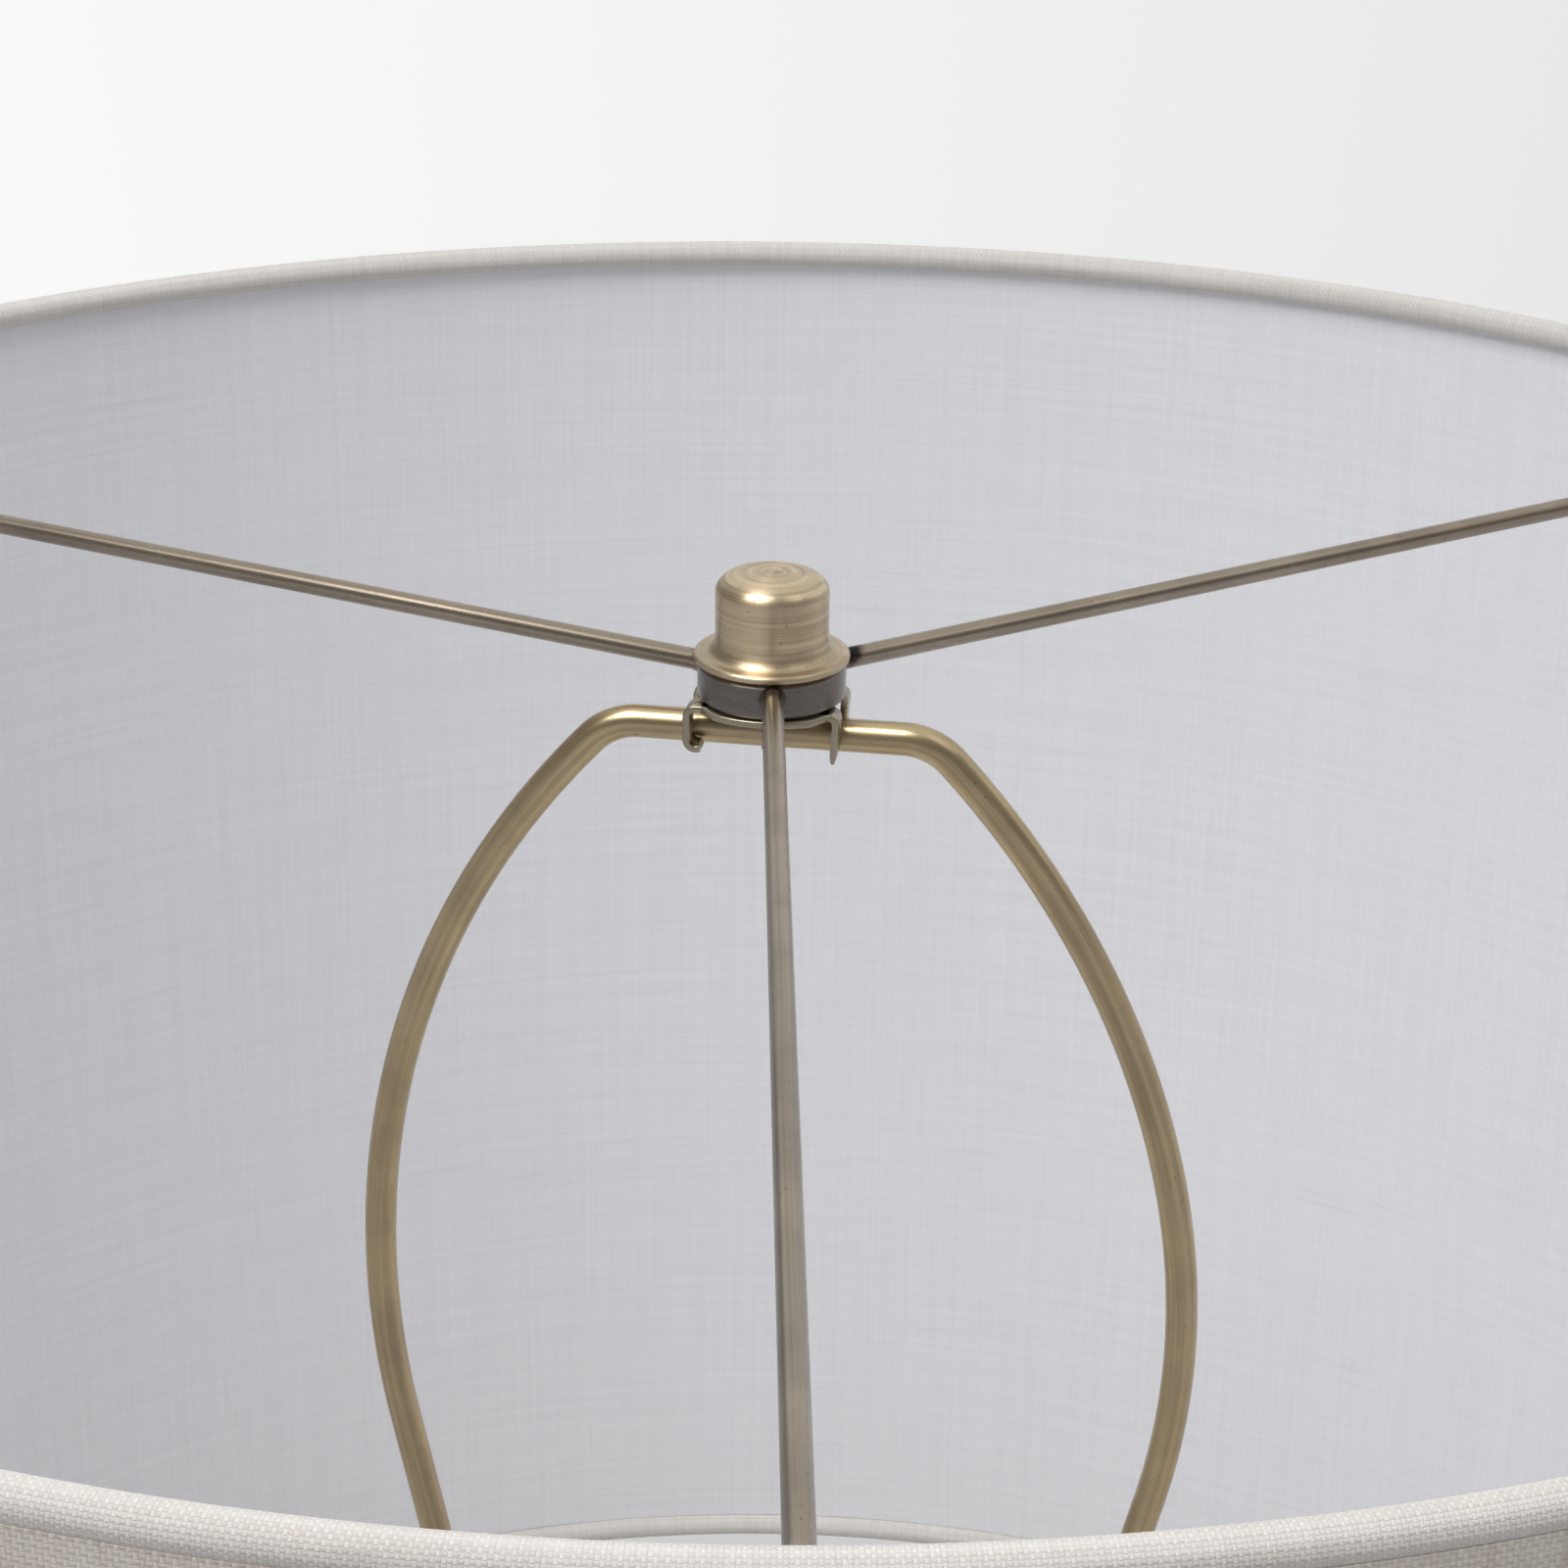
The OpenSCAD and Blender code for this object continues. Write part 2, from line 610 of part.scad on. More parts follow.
// A turned spindle: a band at each end and a hollow sweep between them.
module neck() {
    band_h = 4;
    sweep_steps = 24;
    sweep_h = neck_h - 2 * band_h;
    low_r = neck_foot_r - 2;
    high_r = neck_head_r - 1.5;
    sweep = [for (i = [0:sweep_steps]) let (
            u = i / sweep_steps,
            ends_r = low_r + (high_r - low_r) * u,
            hollow = pow(sin(180 * pow(u, 0.8)), 1.4))
        [ends_r + (neck_waist_r - ends_r) * hollow, band_h + sweep_h * u]];
    color(brass) translate([0, 0, neck_z]) rotate_extrude() polygon(concat(
        [[pipe_hole_r, 0], [neck_foot_r, 0], [neck_foot_r, band_h - 1], [neck_foot_r - 1, band_h]], sweep,
        [[neck_head_r - 0.8, neck_h - band_h], [neck_head_r, neck_h - band_h + 0.8],
         [neck_head_r, neck_h], [pipe_hole_r, neck_h]]));
}

module neck_washer() {
    color(steel) translate([0, 0, neck_z + neck_h]) tube(washer_r, pipe_hole_r, washer_t);
}

module neck_nut() {
    color(steel) translate([0, 0, neck_nut_z]) hex_nut(nut_flats, pipe_hole_r, nut_t);
}

// Half of a rod's section, over the lap, on the inner or the outer side of the prong's middle.
module lap_cut(outer_side) {
    wide = 4 * wire_r;
    translate([saddle_half + (outer_side ? -shaft_gap : shaft_gap - wide), -wide / 2, lap_z])
        cube([wide, wide, lap_h + 2 * shaft_gap]);
}

// A strap with a prong at each end; each prong has a collar and a half lap.
module harp_saddle() {
    color(brass) difference() {
        union() {
            translate([-saddle_half, -saddle_w / 2, saddle_z]) cube([2 * saddle_half, saddle_w, saddle_t]);
            both_sides() translate([saddle_half, 0, 0]) {
                translate([0, 0, saddle_z]) cylinder(r = saddle_w / 2, h = saddle_t);
                translate([0, 0, saddle_z]) cylinder(r = wire_r, h = lap_z + lap_h - saddle_z);
                translate([0, 0, collar_top_z - collar_h]) cylinder(r = wire_r + collar_lip, h = collar_h);
            }
        }
        both_sides() lap_cut(true);
        translate([0, 0, saddle_z - 1]) cylinder(r = pipe_hole_r, h = saddle_t + 2);
    }
}

module harp() {
    right = leg_stations();
    left = [for (i = [len(right) - 1:-1:1]) [-right[i][0], right[i][1], -right[i][2]]];
    color(brass) difference() {
        swept_tube([for (station = concat(left, right)) wire_ring(station)]);
        both_sides() lap_cut(false);
        translate([0, 0, bar_z - 2 * wire_r]) cylinder(r = tenon_r + shaft_gap, h = 4 * wire_r);
    }
}

module ferrule() {
    bead_h = 1.4;
    bead = 0.4;
    outer = ferrule_bore_r + ferrule_wall;
    color(brass) translate([saddle_half, 0, ferrule_z]) difference() {
        union() {
            cylinder(r = outer, h = ferrule_h);
            cylinder(r = outer + bead, h = bead_h);
            translate([0, 0, ferrule_h - bead_h]) cylinder(r = outer + bead, h = bead_h);
        }
        translate([0, 0, -1]) cylinder(r = ferrule_bore_r, h = ferrule_h + 2);
    }
}

module left_ferrule() {
    mirror([1, 0, 0]) ferrule();
}

module right_ferrule() {
    ferrule();
}

// A threaded stud that swivels in the bar: a rivet head below, a shoulder above.
module harp_stud() {
    head_z = bar_z - wire_r - shaft_gap - rivet_h;
    stud_top = finial_z + insert_h + 1;
    color(dark_brass) {
        translate([0, 0, head_z]) cylinder(r = tenon_r + rivet_lip, h = rivet_h);
        translate([0, 0, head_z]) cylinder(r = tenon_r, h = shoulder_z - head_z + overlap);
        translate([0, 0, shoulder_z]) cylinder(r = shoulder_r, h = shoulder_h);
        translate([0, 0, shoulder_z]) cylinder(r = stud_r, h = stud_top - shoulder_z);
    }
}

// The clip's two claws from the side: the left one curls under the bar, and the right one is straight.
module hooked_claw(root_x) {
    hook_x = -hub_r - hook_reach;
    tip_x = hook_x + hook_r + 0.8;
    upper = [hook_x + hook_r, clip_t - hook_r];
    lower = [hook_x + hook_r, clip_t - hook_h + hook_r];
    outer = [hook_r, hook_r];
    inner = outer - [clip_t, clip_t];
    polygon(concat([[overlap - root_x, clip_t]], arc(upper, outer, 90, 180), arc(lower, outer, 180, 270),
        [[tip_x, clip_t - hook_h], [tip_x, 2 * clip_t - hook_h]], arc(lower, inner, 270, 180),
        arc(upper, inner, 180, 90), [[overlap - root_x, 0]]));
}

module straight_claw(root_x) {
    bend = [root_x, clip_t - claw_bend_r];
    outer = [claw_bend_r, claw_bend_r];
    polygon(concat([[root_x - overlap, clip_t]], arc(bend, outer, 90, 0),
        [[hub_r, clip_t - claw_h], [hub_r - clip_t, clip_t - claw_h]],
        arc(bend, outer - [clip_t, clip_t], 0, 90), [[root_x - overlap, 0]]));
}

// A thin plate under the hub with four claws, two on each side of the harp's bar.
module harp_clip() {
    claw_y = wire_r + 3 * shaft_gap;
    root_x = hub_r - claw_bend_r;
    edge_y = clip_edge_r - hub_r;
    color(dark_brass) translate([0, 0, clip_z]) {
        linear_extrude(clip_t) difference() {
            hull() {
                intersection() {
                    translate([0, edge_y]) circle(clip_edge_r, $fn = 128);
                    translate([0, -edge_y]) circle(clip_edge_r, $fn = 128);
                    square([4 / 3 * hub_r, 2 * hub_r], center = true);
                }
                square([2 * root_x, 2 * (claw_y + claw_w)], center = true);
            }
            circle(stud_r + 2 * shaft_gap);
        }
        for (y = [-claw_y, claw_y + claw_w]) translate([0, y, 0]) rotate([90, 0, 0]) linear_extrude(claw_w) {
            hooked_claw(root_x);
            straight_claw(root_x);
        }
    }
}

// Places its children along an arm: the arm runs out along +Z from its seat in the hub.
module at_arm(angle) {
    rotate([0, 0, angle]) translate([arm_seat_r, 0, hub_top_z - arm_z]) rotate([0, 90 - arm_tilt, 0])
        children();
}

arm_angles = [for (angle = [0, right_arm_angle, left_arm_angle]) spider_angle - 90 + angle];

module spider_hub() {
    edge = 0.35;
    color(dark_brass) difference() {
        translate([0, 0, hub_z]) rotate_extrude() polygon([[stud_hole_r, 0], [hub_r - edge, 0],
            [hub_r, edge], [hub_r, hub_h - edge], [hub_r - edge, hub_h], [stud_hole_r, hub_h]]);
        for (a = arm_angles) at_arm(a) translate([0, 0, -shaft_gap]) cylinder(r = arm_hole_r, h = hub_r);
    }
}

module spider_arm(angle) {
    color(dark_brass) at_arm(angle) cylinder(r = arm_r, h = arm_length);
}

module spider_arm_front() {
    spider_arm(arm_angles[0]);
}

module spider_arm_right() {
    spider_arm(arm_angles[1]);
}

module spider_arm_left() {
    spider_arm(arm_angles[2]);
}

module ring_wire(z) {
    color(dark_brass) translate([0, 0, z]) rotate_extrude() translate([ring_r, 0]) circle(ring_wire_r);
}

module top_ring() {
    ring_wire(ring_z);
}

module bottom_ring() {
    ring_wire(bottom_ring_z);
}

// Linen rolled round a ring wire.
module hem(z) {
    translate([0, 0, z]) rotate_extrude() translate([ring_r, 0]) difference() {
        circle(roll_r);
        circle(ring_wire_r + shaft_gap);
    }
}

// The rolled linen is cut away where each arm meets the ring.
module top_hem() {
    notch_gap = 0.25;
    color("#d8d0c2") difference() {
        hem(ring_z);
        for (a = arm_angles) at_arm(a) translate([0, 0, arm_length / 2])
            cylinder(r = arm_r + notch_gap, h = arm_length / 2 + 2 * notch_gap);
    }
}

module bottom_hem() {
    color("#d8d0c2") hem(bottom_ring_z);
}

module shade_wall(inner, thick) {
    low = bottom_ring_z + under_roll(inner);
    high = ring_z - under_roll(inner);
    translate([0, 0, low]) tube(inner + thick, inner, high - low);
}

module shade_panel() {
    color("#cfc4b2") shade_wall(panel_in_r, panel_t);
}

module shade_lining() {
    color("#e6e7ea") shade_wall(lining_out_r - lining_t, lining_t);
}

// Points of an ellipse's arc in a profile, by its middle and its half width and half height.
function arc(middle, half, from, to, steps = 12) = [for (i = [0:steps])
    let (a = from + (to - from) * i / steps) middle + [half[0] * cos(a), half[1] * sin(a)]];

// A spun cap: low crown, rounded shoulder, straight side, hollow sweep and a flange with a rolled edge.
module finial_cap() {
    wall = finial_wall;
    lip = finial_lip_t / 2;
    shoulder_middle = [finial_r - finial_shoulder[0], finial_h - finial_crown_h - finial_shoulder[1]];
    outside = concat(
        arc([finial_flange_r - lip, lip], [lip, lip], -90, 90),
        arc([finial_r, finial_lip_t] + finial_sweep, finial_sweep, 270, 180),
        arc(shoulder_middle, finial_shoulder, 0, 90),
        [[0, finial_h]]);
    inside = concat(
        [[0, finial_h - wall]],
        arc(shoulder_middle, finial_shoulder - [wall, wall], 90, 0),
        [[finial_r - wall, 0]]);
    color(brass) translate([0, 0, finial_z]) rotate_extrude() polygon(concat(outside, inside));
}

module finial_insert() {
    color(steel) translate([0, 0, finial_z])
        tube(finial_r - finial_wall - shaft_gap, stud_r + shaft_gap, insert_h);
}

// The socket's cap: a threaded neck on the pipe that flares to a cup.
module socket_cap() {
    wall = socket_cap_wall;
    color(brass) translate([0, 0, strap_z]) difference() {
        rotate_extrude() polygon([[pipe_hole_r, 0], [hub_neck_r, 0], [hub_neck_r, hub_neck_h - wall],
            [socket_cap_r - flare_edge, flare_z - wall], [socket_cap_r, round_z],
            [socket_cap_r, socket_cap_h],
            [socket_cap_r - wall, socket_cap_h], [socket_cap_r - wall, round_z],
            [socket_cap_r - flare_edge - wall, flare_z], [hub_neck_r, hub_neck_h + wall / 2],
            [pipe_hole_r, hub_neck_h + wall / 2]]);
        translate([0, 0, set_screw_z]) rotate([0, 90, set_screw_angle])
            cylinder(r = set_screw_r + shaft_gap, h = 2 * hub_neck_r);
    }
}

module socket_cap_screw() {
    color(steel) translate([0, 0, strap_z + set_screw_z]) rotate([0, 90, set_screw_angle])
        translate([0, 0, pipe_r + shaft_gap]) cylinder(r = set_screw_r, h = set_screw_end - pipe_r);
}

// The slot that lets the switch stem into the shell and its liner from below.
module stem_slot(half_w) {
    translate([0, 0, stem_z]) rotate([90, 0, 0]) cylinder(r = half_w, h = 2 * shell_r);
    translate([-half_w, -2 * shell_r, shell_z - 1]) cube([2 * half_w, 2 * shell_r, stem_z - shell_z + 1]);
}

module socket_shell() {
    bead_h = 1.4;
    color(brass) translate([0, 0, strap_z]) difference() {
        union() {
            translate([0, 0, shell_z]) cylinder(r = shell_r, h = socket_h - shell_z);
            translate([0, 0, socket_h - bead_h]) cylinder(r = shell_r + shell_wall, h = bead_h);
        }
        translate([0, 0, shell_z - 1]) cylinder(r = shell_in_r, h = socket_h - shell_z + 2);
        stem_slot(stem_r + 1.5);
    }
}

module socket_liner() {
    color("#8a7a60") translate([0, 0, strap_z]) difference() {
        translate([0, 0, shell_z + 1]) tube(liner_out_r, liner_in_r, socket_h - shell_z - 2);
        stem_slot(stem_r + 1.3);
    }
}

// The moulded interior, with a chamber for the rotor and flats for the terminal screws.
module socket_body() {
    color("#3a2f2a") translate([0, 0, strap_z]) difference() {
        translate([0, 0, body_z]) cylinder(r = body_r, h = body_top_z - body_z);
        translate([0, 0, stem_z]) rotate([90, 0, 0]) cylinder(r = stem_hole_r, h = 2 * body_r);
        translate([0, 1 - rotor_y, stem_z]) rotate([90, 0, 0])
            cylinder(r = rotor_r + 2 * shaft_gap, h = rotor_t + 1.2);
        both_sides() translate([terminal_flat, -body_r, body_z - 1])
            cube([body_r, 2 * body_r, terminal_z - body_z + terminal_r + 1.6]);
        both_sides() translate([terminal_flat - terminal_depth, 0, terminal_z]) rotate([0, 90, 0])
            cylinder(r = terminal_shank_r + shaft_gap, h = terminal_depth + 1);
    }
}

module terminal_screws() {
    color("#c9b26a") translate([0, 0, strap_z + terminal_z]) both_sides() rotate([0, 90, 0]) {
        translate([0, 0, terminal_flat - terminal_depth + shaft_gap])
            cylinder(r = terminal_shank_r, h = terminal_depth);
        translate([0, 0, terminal_flat + shaft_gap]) cylinder(r = terminal_r, h = terminal_t);
    }
}

// A thin shell with a rolled thread, drawn as rings, and an inward flange at its foot.
module screw_shell() {
    steps_per_pitch = 8;
    low = body_top_z + screw_shell_wall;
    high = screw_shell_top_z;
    steps = floor((high - low) / thread_pitch * steps_per_pitch);
    wave = [for (i = [0:steps]) [
        screw_shell_r + thread_depth * (1 - cos(360 * i / steps_per_pitch)) / 2,
        low + (high - low) * i / steps]];
    outside = [for (i = [steps:-1:0]) wave[i] + [screw_shell_wall, 0]];
    color("#b9bcbe") translate([0, 0, strap_z]) rotate_extrude() polygon(concat(
        [[contact_hole_r, low]], wave, outside,
        [[screw_shell_r + screw_shell_wall, body_top_z], [contact_hole_r, body_top_z]]));
}

// A springy tongue that rises to the middle of the screw shell.
module centre_contact() {
    t = 0.5;
    w = 4;
    rise = 4;
    color("#b08b45") translate([0, w / 2, strap_z + body_top_z]) rotate([90, 0, 0]) linear_extrude(w)
        polygon([[-4, 0], [3, 0], [3, t], [-3, t], [2, rise], [1.6, rise + t], [-4, t + 0.3]]);
}

module switch_stem() {
    color(steel) translate([0, -rotor_y - shaft_gap, strap_z + stem_z]) rotate([90, 0, 0])
        cylinder(r = stem_r, h = knob_reach - rotor_y - 3);
}

module switch_rotor() {
    color("#c8b48c") translate([0, -rotor_y + face_gap, strap_z + stem_z]) rotate([90, 0, 0])
        tube(rotor_r, stem_r + shaft_gap, rotor_t);
}

// A fluted knob with a blind bore on the stem.
module switch_knob() {
    flutes = 12;
    flute_r = 0.9;
    crown_h = 1;
    color("#2a2724") translate([0, -knob_reach + knob_h, strap_z + stem_z]) rotate([90, 0, 0]) difference() {
        union() {
            cylinder(r = knob_r, h = knob_h - crown_h);
            translate([0, 0, knob_h - crown_h]) cylinder(r = knob_r - flute_r, h = crown_h);
        }
        for (i = [0:flutes - 1]) rotate([0, 0, 360 * i / flutes]) translate([knob_r + flute_r / 3, 0, 2])
            cylinder(r = flute_r, h = knob_h);
        translate([0, 0, -1]) cylinder(r = stem_r + shaft_gap, h = knob_h - 1.5);
    }
}

felt_pad();
foot();
foot_weight();
cord_bushing();
bottom_washer();
bottom_nut();
lamp_pipe();
body_core();
rope_winding();
body_cap();
check_ring();
neck();
neck_washer();
neck_nut();
harp_saddle();
harp();
left_ferrule();
right_ferrule();
harp_stud();
harp_clip();
spider_hub();
spider_arm_front();
spider_arm_left();
spider_arm_right();
top_ring();
bottom_ring();
shade_panel();
shade_lining();
top_hem();
bottom_hem();
finial_cap();
finial_insert();
socket_cap();
socket_cap_screw();
socket_shell();
socket_liner();
socket_body();
screw_shell();
centre_contact();
terminal_screws();
switch_stem();
switch_rotor();
switch_knob();
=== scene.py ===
"""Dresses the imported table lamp: linen drum shade, brass harp and finial, rope-wound body and round foot.

Every length is in metres, in the lamp's own frame: +Z up, the harp in the XZ plane, the foot's felt at z = 0.
"""

import json
import logging
import math
from dataclasses import dataclass, replace
from enum import Enum
from functools import cache
from typing import Mapping, Sequence

import bmesh
import bpy
import numpy as np
from mathutils import Matrix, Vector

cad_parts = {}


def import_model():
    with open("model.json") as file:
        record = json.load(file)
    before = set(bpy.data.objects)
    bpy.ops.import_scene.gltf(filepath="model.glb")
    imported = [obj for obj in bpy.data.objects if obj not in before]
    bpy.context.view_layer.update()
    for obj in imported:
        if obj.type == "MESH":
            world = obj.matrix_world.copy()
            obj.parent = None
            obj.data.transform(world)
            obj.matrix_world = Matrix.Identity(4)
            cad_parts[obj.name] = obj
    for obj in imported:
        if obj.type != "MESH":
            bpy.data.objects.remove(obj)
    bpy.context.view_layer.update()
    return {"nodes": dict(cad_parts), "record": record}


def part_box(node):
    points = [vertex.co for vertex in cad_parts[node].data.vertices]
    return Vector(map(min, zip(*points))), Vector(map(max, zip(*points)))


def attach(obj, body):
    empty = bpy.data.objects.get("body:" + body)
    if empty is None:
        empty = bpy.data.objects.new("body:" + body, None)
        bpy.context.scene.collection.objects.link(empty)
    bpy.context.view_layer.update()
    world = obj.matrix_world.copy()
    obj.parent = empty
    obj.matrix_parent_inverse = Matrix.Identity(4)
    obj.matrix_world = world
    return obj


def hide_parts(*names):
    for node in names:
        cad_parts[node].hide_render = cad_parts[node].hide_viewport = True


LOG = logging.getLogger("lamp")
TAU = 2 * math.pi
MM = 0.001
HAIR = 0.01 * MM
Colour = tuple[float, float, float]


class Value:
    """A socket of a material's node tree; Python's operators on it add Math nodes."""

    def __init__(self, shader: "Shader", socket: bpy.types.NodeSocket) -> None:
        """Keeps the socket and the shader that it belongs to."""
        self.shader = shader
        self.socket = socket

    def math(self, operation: str, *others: "Value | float") -> "Value":
        """Applies one Math operation to this value and the others.

        Args:
            operation: the Math node's operation, such as "SINE".
            others: the operation's further operands.

        Returns:
            The node's result.
        """
        operands = dict(enumerate([self, *others]))
        return self.shader.node("ShaderNodeMath", {"operation": operation}, operands)

    def __add__(self, other: "Value | float") -> "Value":
        """This value plus the other."""
        return self.math("ADD", other)

    def __mul__(self, other: "Value | float") -> "Value":
        """This value times the other."""
        return self.math("MULTIPLY", other)

    def __sub__(self, other: "Value | float") -> "Value":
        """This value less the other."""
        return self.math("SUBTRACT", other)

    def __rsub__(self, other: float) -> "Value":
        """A number less this value."""
        return self.shader.node("ShaderNodeMath", {"operation": "SUBTRACT"}, {0: other, 1: self})

    def __truediv__(self, other: "Value | float") -> "Value":
        """This value divided by the other."""
        return self.math("DIVIDE", other)

    __radd__ = __add__
    __rmul__ = __mul__


class Shader:
    """A material or world under construction, with one method for each step that the finishes share."""

    def __init__(self, owner: bpy.types.Material | bpy.types.World) -> None:
        """Clears the owner's nodes.

        Args:
            owner: the material or world.
        """
        self.owner = owner
        owner.use_nodes = True
        self.tree = owner.node_tree
        self.tree.nodes.clear()

    @classmethod
    def of_material(cls, name: str) -> "Shader":
        """Starts an empty material of that name."""
        return cls(bpy.data.materials.new(name))

    def node(self, kind: str, settings: Mapping[str, object] | None = None,
             inputs: Mapping[str | int, object] | None = None, out: str | int = 0) -> Value | None:
        """Adds any node.

        Args:
            kind: the node's type.
            settings: its attributes.
            inputs: numbers, colours or values for its sockets, by name or index.
            out: the output wanted.

        Returns:
            That output as a value, or None from a node that has none.
        """
        node = self.tree.nodes.new(kind)
        for key, setting in (settings or {}).items():
            setattr(node, key, setting)
        for key, given in (inputs or {}).items():
            socket = node.inputs[key]
            if isinstance(given, Value):
                self.tree.links.new(given.socket, socket)
            else:
                socket.default_value = given
        return Value(self, node.outputs[out]) if node.outputs else None

    def vector(self, operation: str, *operands: Value | Sequence[float], out: str = "Value") -> Value:
        """Applies one Vector Math operation; out is "Vector" where the result is a vector."""
        return self.node("ShaderNodeVectorMath", {"operation": operation}, dict(enumerate(operands)), out)

    def uv(self) -> Value:
        """The piece's own map, in metres along and across its surface."""
        return self.node("ShaderNodeUVMap", {"uv_map": "UVMap"})

    def place(self) -> Value:
        """The point's place in the lamp's frame."""
        return self.node("ShaderNodeTexCoord", out="Object")

    def axis(self, vector: Value, index: int) -> Value:
        """One part of a vector: 0, 1 or 2."""
        return self.node("ShaderNodeSeparateXYZ", inputs={0: vector}, out=index)

    def noise(self, vector: Value, scale: Sequence[float], detail: float = 2, rough: float = 0.5,
              warp: float = 0) -> Value:
        """Soft random values from 0 to 1.

        Args:
            vector: the place or map that they lie on.
            scale: how often they change in a metre, along each of the vector's parts.
            detail: how many finer layers are added.
            rough: how strong each finer layer is.
            warp: how much the values are stirred.

        Returns:
            The values.
        """
        stretched = self.vector("MULTIPLY", vector, tuple(scale), out="Vector")
        return self.node("ShaderNodeTexNoise", {"noise_dimensions": "3D"},
                         {"Vector": stretched, "Scale": 1.0, "Detail": detail, "Roughness": rough,
                          "Distortion": warp})

    def between(self, value: Value, low: float, high: float, smooth: bool = True) -> Value:
        """0 below low, 1 above high, and a ramp between them."""
        kind = "SMOOTHSTEP" if smooth else "LINEAR"
        return self.node("ShaderNodeMapRange", {"interpolation_type": kind, "clamp": True},
                         {"Value": value, "From Min": low, "From Max": high})

    def mix(self, share: Value | float, first: Colour | Value, second: Colour | Value) -> Value:
        """A colour between the first (share 0) and the second (share 1), on the node's two colour sockets."""
        first, second = (end if isinstance(end, Value) else (*end, 1) for end in (first, second))
        return self.node("ShaderNodeMix", {"data_type": "RGBA"}, {0: share, 6: first, 7: second}, out=2)

    def bump(self, height: Value, depth: float) -> Value:
        """A normal from heights, where 1 stands for depth in metres."""
        return self.node("ShaderNodeBump", inputs={"Height": height, "Distance": depth, "Strength": 1.0})

    def finish(self, **inputs: object) -> bpy.types.Material:
        """Closes the material with a Principled surface.

        Args:
            inputs: its sockets, with _ in place of spaces.

        Returns:
            The material.
        """
        sockets = {key.replace("_", " "): given for key, given in inputs.items()}
        surface = self.node("ShaderNodeBsdfPrincipled", inputs=sockets)
        self.node("ShaderNodeOutputMaterial", inputs={"Surface": surface})
        return self.owner


def weave(shader: Shader, uv: Value, warp: float, weft: float) -> tuple[Value, Value]:
    """A plain weave: each thread is an arch across, and odd crossings show the warp, even ones the weft.

    Args:
        shader: the material under construction.
        uv: the map in metres.
        warp: width of the threads that run along v.
        weft: width of the threads that run along u.
    """
    wave_u = (shader.axis(uv, 0) / warp * math.pi).math("SINE")
    wave_v = (shader.axis(uv, 1) / weft * math.pi).math("SINE")
    over = shader.between(wave_u * wave_v, -0.15, 0.15)
    height = wave_u.math("ABSOLUTE") * over + wave_v.math("ABSOLUTE") * (1 - over)
    return height, over


@dataclass(frozen=True)
class Brass:
    """Satin brass, darkened with age, under lacquer, with lines along u: round a turned piece, along a wire.

    A piece that was spun about its upright axis has its gloss drawn out across those lines. The scales are
    how often the specks and the solder's ragged edge change in a metre.
    """

    name: str
    light: Colour
    dark: Colour
    warm: Colour
    roughness: float
    line_width: float = 0.12 * MM
    line_length: float = 30 * MM
    line_depth: float = 0.004 * MM
    wear_size: float = 12 * MM
    wear: float = 0.5
    spun: float = 0.0
    solder_at: Sequence[float] | None = None
    solder_size: float = 3 * MM
    solder_edge: float = 1.6 * MM
    solder_tone: Colour = (0.012, 0.011, 0.01)
    speck_tone: Colour = (0.05, 0.042, 0.035)
    speck_scale: float = 1900
    ragged_scale: float = 1400

    def material(self) -> bpy.types.Material:
        """Builds the finish.

        Returns:
            The material.
        """
        shader = Shader.of_material(self.name)
        uv = shader.uv()
        along_u, across = 1 / self.line_length, 1 / self.line_width
        lines = shader.noise(uv, (along_u, across, 1), 3, 0.65)
        broad = shader.noise(uv, (along_u * 0.4, across * 0.11, 1))
        tint = shader.noise(uv, (along_u * 0.7, across * 0.16, 7))
        clouds = shader.noise(shader.place(), [1 / self.wear_size] * 3, 3, 0.55)
        worn = clouds * 0.3 + broad * 0.45 + lines * 0.25
        share = shader.between(worn, 0.5 - self.wear * 0.35, 0.5 + self.wear * 0.4)
        colour = shader.mix(share, self.dark, self.light)
        colour = shader.mix(shader.between(tint, 0.5, 0.72) * 0.6, colour, self.warm)
        specks = shader.noise(shader.place(), [self.speck_scale] * 3, 1)
        colour = shader.mix(shader.between(specks, 0.7, 0.78) * 0.5, colour, self.speck_tone)
        rough = (1 - share) * 0.08 + lines * 0.14 + (self.roughness - 0.08)
        if self.solder_at:
            away = shader.vector("DISTANCE", shader.place(), tuple(self.solder_at))
            ragged = shader.noise(shader.place(), [self.ragged_scale] * 3, 3) * self.solder_edge
            clear = shader.between(away + ragged, self.solder_size, self.solder_size + self.solder_edge)
            colour = shader.mix(clear, self.solder_tone, colour)
            rough = rough + (1 - clear) * 0.3
        normal = shader.bump(lines * 0.7 + broad * 0.5, self.line_depth)
        return shader.finish(Base_Color=colour, Metallic=1.0, Roughness=rough, Normal=normal, Coat_Weight=0.2,
                             Coat_Roughness=0.28, Anisotropic=self.spun, Anisotropic_Rotation=0.25)


